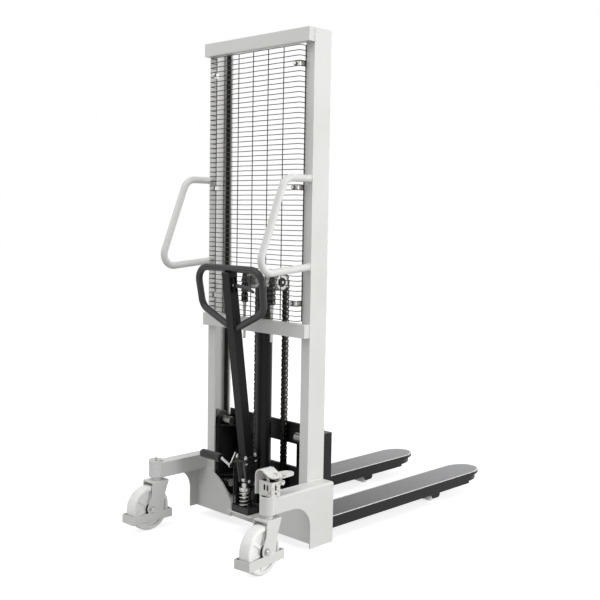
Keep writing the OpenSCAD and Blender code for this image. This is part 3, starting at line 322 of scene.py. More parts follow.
def skin_rings(grid, rings, closed=False, material=0):
    faces = []
    for low, high in zip(rings, rings[1:] + rings[:1] if closed else rings[1:]):
        for k in range(len(low)):
            after = (k + 1) % len(low)
            faces.append(grid.faces.new((low[k], low[after], high[after], high[k])))
    if not closed:
        faces += [grid.faces.new(rings[0][::-1]), grid.faces.new(rings[-1])]
    for face in faces:
        face.material_index = material


def tube_along(grid, points, radius, sides=8):
    points = [Vector(p) for p in points]
    reach = radius if isinstance(radius, list) else [radius] * len(points)
    rings = []
    ahead = (points[1] - points[0]).normalized()
    across = ahead.orthogonal().normalized()
    for i, point in enumerate(points):
        before = points[max(i - 1, 0)]
        after = points[min(i + 1, len(points) - 1)]
        ahead = (after - before).normalized()
        across = (across - ahead * across.dot(ahead)).normalized()
        other = ahead.cross(across)
        rings.append([grid.verts.new(point + reach[i] * (math.cos(a) * across + math.sin(a) * other))
                      for a in around(sides)])
    skin_rings(grid, rings)


SCALE_LENGTH = 0.0026
SCALE_STEPS = 4
BEAD_NOISE = 160


def weld_bead(grid, points, radius):
    path = []
    for start, end in zip(points, points[1:]):
        start, end = Vector(start), Vector(end)
        steps = max(2, round((end - start).length / SCALE_LENGTH * SCALE_STEPS))
        path += [start.lerp(end, i / steps) for i in range(steps)]
    path.append(Vector(points[-1]))
    ripple = [0.86 + 0.2 * (i % SCALE_STEPS) / (SCALE_STEPS - 1) for i in range(len(path))]
    size = [radius * (r + 0.25 * noise.noise(p * BEAD_NOISE)) for r, p in zip(ripple, path)]
    tube_along(grid, path, size)


GRAB_X = HALF_W - 0.014
GRAB_R = 0.014
GRAB_ENDS = (1.428, 1.098)
ARM_WELD = (0.002, 0.079)
# Upright beads: x, y, lower end, upper end and radius at the two beams, the arm, the housing and the leg.
UPRIGHT_BEADS = ((HALF_W, MAST_Y, MAST_H - 0.050, MAST_H - 0.002, 0.0032),
                 (HALF_W, MAST_Y, 0.831, 0.879, 0.0030),
                 (0.360, CASTOR_Y + 0.015, ARM_LOW + 0.002, ARM_TOP - 0.012, 0.0028),
                 (CASTOR_X - 0.030, CASTOR_Y, ARM_LOW + 0.002, ARM_TOP - 0.002, 0.0028),
                 (HALF_W, MAST_Y + 0.0005, 0.060, 0.200, 0.0024))
grid = bmesh.new()
for s in (-1, 1):
    for x, y, low, high, radius in UPRIGHT_BEADS:
        weld_bead(grid, [(s * x, y, low), (s * x, y, high)], radius)
    weld_bead(grid, [(s * (HALF_W + 0.0008), MAST_Y + y, ARM_TOP + 0.0004) for y in ARM_WELD], 0.0026)
    for z in GRAB_ENDS:
        ring = [(s * GRAB_X + GRAB_R * math.cos(a), MAST_Y - 0.0006, z + GRAB_R * math.sin(a))
                for a in around(24) + [2 * math.pi]]
        weld_bead(grid, ring, 0.0026)
finish_grid("chassis_weld_beads", grid, "top_beam", [powder_coat_edge_highlight], replaced=[], sharp=80)

# MESH GUARD. One mat of round wires, welded where they cross, bent forward at both sides and dipped.
# Its thin level wires lie on the operator's side, with a few upright wires on the mast's side of them.
# A dip coat leaves the wire brown-black, thick at the crossings, with a soft gloss.
WIRE_R = 0.0016
GUARD_HALF = 0.2575
GUARD_Y = MAST_Y - 0.035
GUARD_LOW = 0.890
GUARD_HIGH = 1.919
LEVEL_WIRES = 55
OPEN_COLUMNS = 6
GUARD_BEND = 0.006
RETURN_END = MAST_Y - 0.0018
WIRE_SAG = 0.0011
SAG_POINTS = 13
grid = bmesh.new()
for i in range(LEVEL_WIRES):
    z = GUARD_LOW + WIRE_R + i * (GUARD_HIGH - GUARD_LOW - 2 * WIRE_R) / (LEVEL_WIRES - 1)
    x = GUARD_HALF - WIRE_R
    corner = [(x - GUARD_BEND * (1 - math.sin(a)), GUARD_Y + GUARD_BEND * (1 - math.cos(a)), z)
              for a in (math.radians(d) for d in (0, 22.5, 45, 67.5, 90))]
    half = corner + [(x, RETURN_END, z)]
    sag = [WIRE_SAG * noise.noise(Vector((k * 0.9, i * 0.37, 3.1))) for k in range(SAG_POINTS)]
    middle = [(0.94 * x * (2 * k / (SAG_POINTS - 1) - 1), GUARD_Y, z + sag[k]) for k in range(SAG_POINTS)]
    tube_along(grid, [(-px, py, pz) for px, py, pz in half[::-1]] + middle + half, WIRE_R, 6)
upright_y = GUARD_Y + 2 * WIRE_R * 0.8
for k in range(1, OPEN_COLUMNS):
    x = (GUARD_HALF - WIRE_R - 0.003) * (2 * k / OPEN_COLUMNS - 1)
    tube_along(grid, [(x, upright_y, GUARD_LOW), (x, upright_y, GUARD_HIGH)], WIRE_R * 1.15)
for s in (-1, 1):
    x = s * (GUARD_HALF - 2.6 * WIRE_R)
    tube_along(grid, [(x, RETURN_END, GUARD_LOW), (x, RETURN_END, GUARD_HIGH)], WIRE_R * 1.1)
dipped_wire = coated_steel("black_dipped_wire", "#1E1C19", "#292622", roughness=0.4, peel=0.2)
finish_grid("mesh_guard_wires", grid, "mesh_guard", [dipped_wire])


# BRIGHT PIECES. Pins, anchors, cap, push roller and pedal rods in zinc plate, a thin crystalline skin.
# The pressure pipe and release rod are black oxided; bearings, axles and mast rollers are ground steel.
def bare_metal(name, colour, dark_colour, roughness, spangle):
    material, tree = new_tree(name)
    place = add_node(tree, "ShaderNodeTexCoord").outputs["Object"]
    cloud = add_node(tree, "ShaderNodeTexNoise",
                     inputs={"Vector": place, "Scale": 1 / spangle, "Detail": 6.0, "Roughness": 0.6})
    tone = add_node(tree, "ShaderNodeMapRange",
                    inputs={"Value": cloud.outputs["Fac"], "From Min": 0.25, "From Max": 0.75})
    mix = add_node(tree, "ShaderNodeMix", {"data_type": "RGBA"},
                   {"Factor": tone.outputs[0], 6: linear(dark_colour), 7: linear(colour)})
    gloss = add_node(tree, "ShaderNodeMapRange",
                     inputs={"Value": cloud.outputs["Fac"], "To Min": roughness - 0.1,
                             "To Max": roughness + 0.12})
    bump = add_node(tree, "ShaderNodeBump",
                    inputs={"Strength": 0.12, "Distance": 0.0002, "Height": cloud.outputs["Fac"]})
    skin = add_node(tree, "ShaderNodeBsdfPrincipled",
                    inputs={"Base Color": mix.outputs[2], "Metallic": 1.0, "Roughness": gloss.outputs[0],
                            "Normal": bump.outputs[0]})
    put_out(tree, skin.outputs[0])
    return material


def lathe(grid, profile, place, sides, closed=False, material=0):
    rings = [[grid.verts.new(place @ Vector((along, radius * math.cos(a), radius * math.sin(a))))
              for a in around(sides, 0.5)] for along, radius in profile]
    skin_rings(grid, rings, closed, material)


def add_plate(grid, outline, thickness, place):
    skin_rings(grid, [[grid.verts.new(place @ Vector((u, v, w))) for u, v in outline]
                      for w in (0, thickness)])


def hex_bolt(grid, place, across, head, washer_r, washer=0.0018, stud_r=0.003, stud=0.0):
    lathe(grid, [(0, washer_r), (washer, washer_r)], place, 28)
    corner = across / 2 / math.cos(math.pi / 6)
    end = washer + head
    lathe(grid, [(washer, corner * 0.94), (washer + 0.0009, corner), (end - 0.0012, corner),
                 (end, corner * 0.87)], place, 6)
    if stud:
        lathe(grid, [(end - 0.001, stud_r), (end + stud - 0.0008, stud_r), (end + stud, stud_r * 0.8)],
              place, 20)


def facing(point, direction):
    turn = Vector((1, 0, 0)).rotation_difference(Vector(direction)).to_matrix().to_4x4()
    return Matrix.Translation(point) @ turn


PIN_EDGE = 0.0006
GROUND_EDGE = 0.0008
zinc_plate = bare_metal("bright_zinc_plate", "#D8D8D6", "#8C8C8A", roughness=0.3, spangle=0.006)
for node in ("housing_cap", "pivot_pins", "chain_anchors", "pedal_arm", "brake_rod", "tiller_roller"):
    soften(node, PIN_EDGE, zinc_plate)
black_oxide = bare_metal("black_oxided_steel", "#3A3A3A", "#1C1C1C", roughness=0.34, spangle=0.004)
for node in ("pressure_pipe", "release_rod"):
    soften(node, PIN_EDGE, black_oxide)
ground_steel = bare_metal("ground_bearing_steel", "#8E8E8C", "#626260", roughness=0.3, spangle=0.004)
for node in ("swivel_bearings", "carriage_axles", "roller_upper_left", "roller_upper_right",
             "roller_lower_left", "roller_lower_right"):
    soften(node, GROUND_EDGE, ground_steel)

# MESH CLIPS. A bent steel strap with a round end, welded inside the channel and zinc plated.
# A bolt with a washer clamps the mat to it, and a nut holds it at the back.
CLIP_T = 0.0025
CLIP_H = 0.020
CLIP_BOLT_X = LIP_X - 0.0215
CLIP_ROWS = (0.06, 0.49, 0.93)
CLIP_FLAT = 0.0045
CLIP_BEND = ((CLIP_FLAT, 0), (0.0028, 0.0004), (0.0012, 0.0014), (0.0002, 0.0032), (0, 0.0055))
BEND_INWARD = ((0, 1), (0.3, 0.95), (0.6, 0.8), (0.85, 0.5), (1, 0.1), (1, 0))
ROW_INSET = 0.0015
strap_y = GUARD_Y + 0.0015
row_pitch = (GUARD_HIGH - GUARD_LOW - 2 * ROW_INSET) / (LEVEL_WIRES - 1)
grid = bmesh.new()
for share in CLIP_ROWS:
    z = GUARD_LOW + ROW_INSET + (math.floor(share * (LEVEL_WIRES - 1)) + 0.5) * row_pitch
    for s in (-1, 1):
        outline = [(CLIP_BOLT_X - CLIP_H / 2 * math.sin(a), CLIP_H / 2 * math.cos(a))
                   for a in (math.pi * k / 8 for k in range(9))]
        outline += [(LIP_X - CLIP_FLAT, -CLIP_H / 2), (LIP_X - CLIP_FLAT, CLIP_H / 2)]
        upright = Matrix(((1, 0, 0, 0), (0, 0, 1, strap_y), (0, 1, 0, z), (0, 0, 0, 1)))
        add_plate(grid, [(s * u, v) for u, v in outline], CLIP_T, upright)
        bend = [(LIP_X - u, v) for u, v in CLIP_BEND] + [(LIP_X, MAST_Y + 0.008 - strap_y)]
        inner = [(u - CLIP_T * n, v + CLIP_T * m) for (u, v), (n, m) in zip(bend, BEND_INWARD)]
        level = Matrix.Translation((0, strap_y, z - CLIP_H / 2))
        add_plate(grid, [(s * u, v) for u, v in bend + inner[::-1]], CLIP_H, level)
        head = facing((s * CLIP_BOLT_X, strap_y - 0.003, z), (0, -1, 0))
        hex_bolt(grid, head, across=0.011, head=0.0045, washer_r=0.0075)
        nut = facing((s * CLIP_BOLT_X, strap_y + CLIP_T, z), (0, 1, 0))
        hex_bolt(grid, nut, across=0.011, head=0.0045, washer_r=0.0062, washer=0.001, stud=0.0022)
clip_zinc = bare_metal("dulled_zinc_plate", "#CFCECC", "#868482", roughness=0.34, spangle=0.008)
finish_grid("mesh_clips_straps", grid, "mesh_clips", [clip_zinc])

# CASTORS. A bent plate fork on a hollow stem, with a flat bar foot guard welded round it, all coated.
# The wheels are turned from cast nylon: a plain tread, webbed hollow sides and a black seal at the hub.
# Cast nylon is a dense waxy white with a soft sheen.
TRAIL = 0.043
WHEEL_Z = 0.090
WHEEL_R = 0.090
WHEEL_HALF = 0.025
FORK_HALF = 0.033
SLEEVE_HALF = 0.0285
WEB_COUNT = 6
WEB_PHASE = 0.4
WEB_T = 0.013
WEB_FROM = 0.0235
WEB_TO = 0.0735
WEB_ROUND = 0.0035
HOLLOW_X = WHEEL_HALF - 0.0085
NYLON_EDGE = 0.0025
CASTOR_TURN = {"left": 0.0, "right": math.radians(7.3)}
for node in ("castor_fork_left", "castor_fork_right"):
    soften(node, CHASSIS_EDGE, powder_coat, powder_coat_edge_highlight)
cast_nylon = coated_steel("turned_white_nylon", "#EDEDEB", "#E2E2DF", roughness=0.36, peel=0.2,
                          peel_size=0.003, cloud_size=0.05)
seal_rubber = coated_steel("moulded_seal_rubber", "#121212", "#1A1A1A", roughness=0.6, peel=0.3,
                           gloss=0.2)
half_wheel = [(0.0, WHEEL_R), (0.012, WHEEL_R - 0.0001), (0.0195, WHEEL_R - 0.0009),
              (0.0232, WHEEL_R - 0.0032), (WHEEL_HALF, WHEEL_R - 0.0068), (WHEEL_HALF, WHEEL_R - 0.0150),
              (0.0243, WHEEL_R - 0.0166), (0.0175, WHEEL_R - 0.0180), (HOLLOW_X, WHEEL_R - 0.0215),
              (HOLLOW_X, 0.0300), (0.0180, 0.0265), (0.0236, 0.0248), (WHEEL_HALF, 0.0230),
              (WHEEL_HALF, 0.0072)]
wheel_profile = half_wheel + [(-u, v) for u, v in half_wheel[:0:-1]]
seal_profile = ((0.0246, 0.0076), (0.0272, 0.0076), (0.0272, 0.0262), (0.0262, 0.0272), (0.0246, 0.0272))
for name, s in (("left", -1), ("right", 1)):
    turn = CASTOR_TURN[name]
    centre = (s * CASTOR_X + TRAIL * math.sin(turn), CASTOR_Y - TRAIL * math.cos(turn), WHEEL_Z)
    axle = Matrix.Translation(centre) @ Matrix.Rotation(turn, 4, "Z")
    grid = bmesh.new()
    for k in range(WEB_COUNT):
        web = axle @ Matrix.Rotation(2 * math.pi * k / WEB_COUNT + WEB_PHASE, 4, "X")
        for out in (-1, 1):
            outline = [(out * 0.0120, WEB_FROM), (out * 0.0222, WEB_FROM), (out * 0.0204, WEB_TO),
                       (out * 0.0120, WEB_TO)]
            add_plate(grid, outline, WEB_T, web @ Matrix.Translation((0, 0, -WEB_T / 2)))
    bmesh.ops.recalc_face_normals(grid, faces=grid.faces)
    round_edges(grid, WEB_ROUND)
    lathe(grid, wheel_profile, axle, 72, closed=True)
    for out in (-1, 1):
        lathe(grid, [(out * u, v) for u, v in seal_profile], axle, 48, closed=True, material=1)
    finish_grid("castor_wheel_%s_turned" % name, grid, "castor_wheel_" + name, [cast_nylon, seal_rubber],
                sharp=35)
    grid = bmesh.new()
    lathe(grid, [(-FORK_HALF, 0.006), (FORK_HALF, 0.006)], axle, 20)
    lathe(grid, [(-SLEEVE_HALF, 0.007), (SLEEVE_HALF, 0.007)], axle, 20)
    nut = axle @ Matrix.Translation((FORK_HALF, 0, 0))
    hex_bolt(grid, nut, across=0.019, head=0.0075, washer_r=0.0135, washer=0.0028, stud_r=0.0062,
             stud=0.0015)
    head = axle @ Matrix.Translation((-FORK_HALF, 0, 0)) @ Matrix.Rotation(math.pi, 4, "Z")
    hex_bolt(grid, head, across=0.019, head=0.0050, washer_r=0.0135, washer=0.0028)
    finish_grid("castor_axle_%s_bolt" % name, grid, "castor_axle_" + name, [zinc_plate])
for node in ("load_roller_left", "load_roller_right"):
    soften(node, NYLON_EDGE, cast_nylon)


# FOOT BRAKE. A windowed box on the right housing and a rocking pedal with a toe lobe, both iron castings.
# The thin coat on a sand casting is rubbed through by shoes, and its pits hold dark dirt. Edges are
# painted paler as a painted highlight, and the box's inside walls are painted near black as painted
# shade.
def worn_casting(name, colour, dirt_colour, pit_size, share):
    material, tree = new_tree(name)
    place = add_node(tree, "ShaderNodeTexCoord").outputs["Object"]
    pits = add_node(tree, "ShaderNodeTexNoise",
                    inputs={"Vector": place, "Scale": 1 / pit_size, "Detail": 3.0, "Roughness": 0.65})
    patch = add_node(tree, "ShaderNodeTexNoise",
                     inputs={"Vector": place, "Scale": 1 / (7 * pit_size), "Detail": 2.0})
    joined = add_node(tree, "ShaderNodeMath", {"operation": "MULTIPLY_ADD"},
                      {0: patch.outputs["Fac"], 1: 0.55, 2: pits.outputs["Fac"]})
    dirt = add_node(tree, "ShaderNodeMapRange",
                    inputs={"Value": joined.outputs[0], "From Min": 0.86 - share,
                            "From Max": 0.94 - share})
    mix = add_node(tree, "ShaderNodeMix", {"data_type": "RGBA"},
                   {"Factor": dirt.outputs[0], 6: linear(colour), 7: linear(dirt_colour)})
    bump = add_node(tree, "ShaderNodeBump",
                    inputs={"Strength": 0.7, "Distance": 0.0006, "Height": pits.outputs["Fac"]})
    skin = add_node(tree, "ShaderNodeBsdfPrincipled",
                    inputs={"Base Color": mix.outputs[2], "Roughness": 0.5, "Normal": bump.outputs[0]})
    put_out(tree, skin.outputs[0])
    return material


coated_iron = worn_casting("thinly_coated_sand_cast_iron", "#D2D1CE", "#93918D", pit_size=0.007,
                           share=-0.01)
# Paler copy for the rounded edges, a painted highlight.
iron_edge_highlight = worn_casting("thinly_coated_sand_cast_iron_edge_highlight", "#E8E8E5", "#B4B2AE", pit_size=0.007,
                         share=-0.01)
# Near-black copy for the walls inside the box, painted shade.
bracket_inside_painted_shade = worn_casting("bracket_interior_painted_shade", "#1E1D1B", "#121110", pit_size=0.0045, share=0.03)
CAST_EDGE = 0.0018
BRACKET_HOLLOW_X = (-0.0325, 0.0285)
BRACKET_HOLLOW_Y = (-0.0095, 0.0285)


def inside_bracket(centre, normal, index):
    within_x = BRACKET_HOLLOW_X[0] < centre.x - CASTOR_X < BRACKET_HOLLOW_X[1]
    within_y = BRACKET_HOLLOW_Y[0] < centre.y - CASTOR_Y < BRACKET_HOLLOW_Y[1]
    return 2 if within_x and within_y and abs(normal.z) < 0.9 else index


soften("brake_bracket", CAST_EDGE, coated_iron, iron_edge_highlight, bracket_inside_painted_shade, choose=inside_bracket)
soften("brake_pedal", CAST_EDGE, coated_iron, iron_edge_highlight)

# BLACK WELDMENTS. Legs, cylinder, carriage and tiller are sprayed with a black alkyd enamel over steel.
# It dries to a satin black, slightly paler where dust settles; the rounded edges are painted paler,
# partly rubbed enamel and partly a painted highlight.
# Pump body and tiller base are sand castings in the same paint, and the piston rod is hard chrome.
CYL_Y = MAST_Y + 0.046
PIVOT_Y = MAST_Y - 0.018
PIVOT_Z = 0.215
TILLER_LEAN = math.radians(7.85)
TILLER_OFF = -0.012
TUBE_HALF = 0.020
BLACK_EDGE = 0.0014
CASTING_EDGE = 0.0022
ROD_EDGE = 0.001
LOOP_BAR_SEAT = 0.8625
LOOP_LEG_SEAT = (0.630, 0.672)
FOOT_SEAT = 0.1125
BEAD_ENDS = (-0.019, 0.019)
black_enamel = coated_steel("black_alkyd_enamel", "#121212", "#191919", roughness=0.4, peel=0.35,
                            gloss=0.17)
# Rounded edges and weld beads: a paler black, rubbed enamel together with a painted highlight.
black_edge_rub_and_highlight = coated_steel("black_alkyd_enamel_edge_rub_and_highlight", "#2A2A2A", "#363636", roughness=0.34, peel=0.2,
                          gloss=0.3)
for node in ("straddle_leg_left", "straddle_leg_right", "lift_cylinder", "carriage_frame", "tiller_tube"):
    soften(node, BLACK_EDGE, black_enamel, black_edge_rub_and_highlight)
black_casting = coated_steel("black_painted_sand_casting", "#141414", "#262626", roughness=0.36, peel=1.0,
                             peel_size=0.0035, cloud_size=0.02, gloss=0.36)
for node in ("pump_body", "handle_base"):
    soften(node, CASTING_EDGE, black_casting, black_edge_rub_and_highlight)
hard_chrome = bare_metal("ground_hard_chrome", "#DCDCDC", "#CCCCCC", roughness=0.16, spangle=0.003)
soften("piston_rod", ROD_EDGE, hard_chrome)
tiller = Matrix.Translation((0, PIVOT_Y, PIVOT_Z)) @ Matrix.Rotation(TILLER_LEAN, 4, "X")


def on_tiller(x, y, z):
    return tiller @ Vector((x, TILLER_OFF + y, z))


# The beads are drawn in the paler edge enamel, a painted highlight.
grid = bmesh.new()
for s in (-1, 1):
    weld_bead(grid, [on_tiller(x, s * TUBE_HALF, LOOP_BAR_SEAT) for x in BEAD_ENDS], 0.0026)
    weld_bead(grid, [on_tiller(s * TUBE_HALF, -0.011, z) for z in LOOP_LEG_SEAT], 0.0028)
    weld_bead(grid, [on_tiller(s * TUBE_HALF, y, FOOT_SEAT) for y in BEAD_ENDS], 0.0026)
weld_bead(grid, [on_tiller(x, -TUBE_HALF, FOOT_SEAT) for x in BEAD_ENDS], 0.0026)
finish_grid("tiller_weld_beads", grid, "tiller_tube", [black_edge_rub_and_highlight], replaced=[], sharp=80)

# TILLER LOOP AND LEVER. The loop is bent tube with a thick black textured powder coat, worn by hands.
# The finger lever is moulded in black plastic.
LOOP_EDGE = 0.0008
LEVER_EDGE = 0.0012
textured_coat = coated_steel("black_textured_powder_coat", "#1C1C1C", "#262626", roughness=0.38, peel=0.9,
                             peel_size=0.0018, cloud_size=0.08, gloss=0.42)
soften("tiller_loop", LOOP_EDGE, textured_coat)
lever_plastic = coated_steel("moulded_black_plastic", "#1B1B1B", "#232323", roughness=0.36, peel=0.2,
                             peel_size=0.001, cloud_size=0.05)
soften("finger_lever", LEVER_EDGE, lever_plastic, black_edge_rub_and_highlight)

# HANDLE BOLTS. Four hexagon bolts clamp the tiller's foot plate to the casting, with nuts below.
# The push roller's pin has a domed head on each side, and the lever turns on a small rivet.
BOLT_AT = 0.025
FLANGE_LOW = 0.098
FOOT_TOP = 0.112
ROLLER_PIN_Y = MAST_Y - 0.052
ROLLER_PIN_Z = 0.229
ROLLER_PIN_HALF = 0.024
LEVER_RIVET = (0.027, TILLER_OFF - 0.0095, 0.814)
grid = bmesh.new()
for x in (-BOLT_AT, BOLT_AT):
    for y in (-BOLT_AT, BOLT_AT):
        top_seat = tiller @ facing((x, TILLER_OFF + y, FOOT_TOP), (0, 0, 1))
        low_seat = tiller @ facing((x, TILLER_OFF + y, FLANGE_LOW), (0, 0, -1))
        for seat, head, stud in ((top_seat, 0.008, 0.005), (low_seat, 0.0055, 0.002)):
            hex_bolt(grid, seat, across=0.013, head=head, washer_r=0.0078, washer=0.0016, stud_r=0.004,
                     stud=stud)
for s in (-1, 1):
    dome = facing((s * ROLLER_PIN_HALF, ROLLER_PIN_Y, ROLLER_PIN_Z), (s, 0, 0))
    lathe(grid, [(0, 0.0072), (0.0028, 0.0072), (0.0044, 0.0062), (0.0056, 0.0042), (0.006, 0.001)],
          dome, 24)
    lathe(grid, [(-ROLLER_PIN_HALF, 0.005), (0.001, 0.005)], dome, 20)
rivet = tiller @ facing(LEVER_RIVET, (0, 1, 0))
lathe(grid, [(-0.0015, 0.0020), (-0.0010, 0.0042), (0.0002, 0.0045), (0.0002, 0.0025), (0.0188, 0.0025),
             (0.0188, 0.0045), (0.0200, 0.0042), (0.0205, 0.0020)], rivet, 20)
finish_grid("handle_bolts_hexagon", grid, "handle_bolts", [zinc_plate])

# HAND PUMP. The plunger is a turned steel stem with a spring seat and a cap that the roller pushes.
# Its return spring is music wire, wound cold with a closed flat turn at each end. Both are zinc plated.
PUMP_Y = MAST_Y - 0.052
SPRING_LOW = 0.1285
SPRING_HIGH = 0.1875
SPRING_TURNS = 5
SPRING_MEAN = 0.01975
SPRING_WIRE = 0.00225
CLOSED_SHARE = 0.12
PLUNGER_EDGE = 0.0018
soften("pump_plunger", PLUNGER_EDGE, zinc_plate)
grid = bmesh.new()
points = []
steps = 24 * SPRING_TURNS
for i in range(steps + 1):
    t = i / steps
    climb = min(max((t - CLOSED_SHARE) / (1 - 2 * CLOSED_SHARE), 0), 1)
    a = 2 * math.pi * SPRING_TURNS * t
    points.append((SPRING_MEAN * math.cos(a), PUMP_Y + SPRING_MEAN * math.sin(a),
                   SPRING_LOW + (SPRING_HIGH - SPRING_LOW) * climb))
tube_along(grid, points, SPRING_WIRE, 10)
spring = finish_grid("pump_spring_coil", grid, "pump_spring", [zinc_plate], bends=True)
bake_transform(spring)

# PEDAL GRIP. A moulded rubber sleeve with raised studs and a stepped end, pushed on the pedal's rod.
# The studs are painted a paler grey as a painted highlight. They are drawn about 6 mm apart, coarser than
# real ones, to show.
GRIP_Y = MAST_Y - 0.102
GRIP_Z = 0.311
GRIP_RIGHT = -0.088
GRIP_LEN = 0.118
GRIP_R = 0.0175
STUD_ROWS = 18
STUDS_ROUND = 14
STUD_RISE = 0.0016
STUD_FOOT_R = 0.0036
STUD_TOP_R = 0.0019
moulded_rubber = coated_steel("moulded_black_rubber", "#111111", "#191919", roughness=0.5, peel=0.3,
                              gloss=0.25)
# Paler grey for the studs, a painted highlight.
stud_painted_highlight = coated_steel("black_rubber_stud_painted_highlight", "#4A4A4A", "#5C5C5C", roughness=0.4, peel=0.2)
grid = bmesh.new()
grip = Matrix.Translation((GRIP_RIGHT, GRIP_Y, GRIP_Z))
core = GRIP_R - STUD_RISE
lathe(grid, [(-GRIP_LEN, 0.010), (-GRIP_LEN, core - 0.002), (0.0015 - GRIP_LEN, core), (-0.003, core),
             (-0.0025, GRIP_R), (-0.001, GRIP_R), (0, GRIP_R - 0.0012), (0, GRIP_R - 0.0055),
             (-0.002, GRIP_R - 0.0062), (-0.002, GRIP_R - 0.0085), (0, GRIP_R - 0.0092), (0, 0.0062)],
      grip, 40)
for i in range(STUD_ROWS):
    x = GRIP_RIGHT - 0.0065 - i * (GRIP_LEN - 0.011) / (STUD_ROWS - 1)
    for k in range(STUDS_ROUND):
        a = 2 * math.pi * (k + i % 2 / 2) / STUDS_ROUND
        out = Vector((0, math.cos(a), math.sin(a)))
        stud = facing(Vector((x, GRIP_Y, GRIP_Z)) + out * core, out)
        lathe(grid, [(-0.0008, STUD_FOOT_R), (STUD_RISE - 0.0001, STUD_TOP_R)], stud, 4, material=1)
finish_grid("pedal_grip_studded", grid, "pedal_grip", [moulded_rubber, stud_painted_highlight], sharp=30)

# CROSSHEAD. A machined bar on the piston rod, with a retaining plate and a sealed bearing per pulley.
# The plates are cut steel, ground flat and left bright.
PULLEY_X = 0.080
PULLEY_Z = 1.027
PULLEY_R = 0.038
HEAD_LOW = 1.008
HEAD_TALL = 0.038
HEAD_HALF_X = 0.066
HEAD_HALF_Y = 0.018
HEAD_EDGE = 0.002
PLATE_X = PULLEY_X + 0.013
grid = bmesh.new()
outline = [(x * HEAD_HALF_X, y * HEAD_HALF_Y) for x, y in ((-1, -1), (1, -1), (1, 1), (-1, 1))]
add_plate(grid, outline, HEAD_TALL, Matrix.Translation((0, CYL_Y, HEAD_LOW)))
round_edges(grid, HEAD_EDGE)
for s in (-1, 1):
    hub = facing((s * PLATE_X, CYL_Y, PULLEY_Z), (s, 0, 0))
    plate = [(0, 0.0100), (0, 0.0300), (0.0022, 0.0300), (0.003, 0.0291), (0.003, 0.0100)]
    lathe(grid, plate, hub, 48, closed=True)
    seal = [(0.0028, 0.0054), (0.0028, 0.0186), (0.0062, 0.0182), (0.0070, 0.0171), (0.0066, 0.0054)]
    lathe(grid, seal, hub, 36, closed=True, material=1)
    axle = [(-0.0275, 0.0098), (0.0026, 0.0098), (0.0030, 0.0056), (0.0080, 0.0056), (0.0090, 0.0046)]
    lathe(grid, axle, hub, 28)
finish_grid("crosshead_machined", grid, "crosshead", [zinc_plate, seal_rubber])

# CHAIN PULLEYS. Turned steel sheaves with a plain groove for the chain and thin side flanges.
half_sheave = [(0.0125, 0.0102), (0.0125, 0.0335), (0.0122, 0.0358), (0.0120, 0.0358), (0.0118, 0.0274)]
sheave = [(-u, v) for u, v in half_sheave] + half_sheave[::-1]
for name, s in (("pulley_left", -1), ("pulley_right", 1)):
    grid = bmesh.new()
    lathe(grid, sheave, Matrix.Translation((s * PULLEY_X, CYL_Y, PULLEY_Z)), 64, closed=True)
    finish_grid(name + "_turned", grid, name, [ground_steel])

# LIFT CHAINS. Two leaf chains: rows of oval link plates on riveted pins, oiled and nearly black.
# Each runs from its anchor over the pulley and down to the carriage; plates alternate link by link.
CHAIN_HALF = 0.0114
PLATE_R = 0.0105
PIN_R = 0.0036
PLATES = 8
OUTER_LINK_PLATES = (0, 3, 4, 7)
PLATE_GAP = 0.0002
RIVET_RISE = 0.0006
RUN_LOW = 0.205
FIXED_LINKS = 4
TURN_LINKS = 6
CARRIAGE_LINKS = 41
link = PULLEY_R * math.pi / TURN_LINKS
chain_steel = bare_metal("oiled_chain_steel", "#504E4C", "#201F1E", roughness=0.28, spangle=0.004)
pin_steel = bare_metal("rubbed_chain_pins", "#A8A6A4", "#6A6866", roughness=0.3, spangle=0.003)


def leaf_chain(grid, pins, first, x):
    for i, (start, end) in enumerate(zip(pins, pins[1:])):
        ahead = (end - start).normalized()
        across = Vector((1, 0, 0)).cross(ahead)
        length = (end - start).length
        along_link = Matrix((ahead, across, Vector((1, 0, 0)))).transposed().to_4x4()
        bow = [(PLATE_R * math.cos(a), PLATE_R * math.sin(a))
               for a in (math.radians(d) for d in (-68, -34, 0, 34, 68))]
        outline = [(length + u, v) for u, v in bow] + [(length / 2, PLATE_R * 0.70)]
        outline += [(-u, -v) for u, v in bow] + [(length / 2, -PLATE_R * 0.70)]
        outer = (first + i) % 2 == 0
        pitch = 2 * CHAIN_HALF / PLATES
        for k in range(PLATES):
            if (k in OUTER_LINK_PLATES) == outer:
                seat = start + Vector((x - CHAIN_HALF + k * pitch + PLATE_GAP / 2, 0, 0))
                add_plate(grid, outline, pitch - PLATE_GAP, Matrix.Translation(seat) @ along_link)
    for pin in pins:
        seat = Matrix.Translation(pin + Vector((x - CHAIN_HALF - RIVET_RISE / 2, 0, 0)))
        lathe(grid, [(0, PIN_R * 0.7), (RIVET_RISE, PIN_R), (2 * CHAIN_HALF, PIN_R),
                     (2 * CHAIN_HALF + RIVET_RISE, PIN_R * 0.7)], seat, 10, material=1)


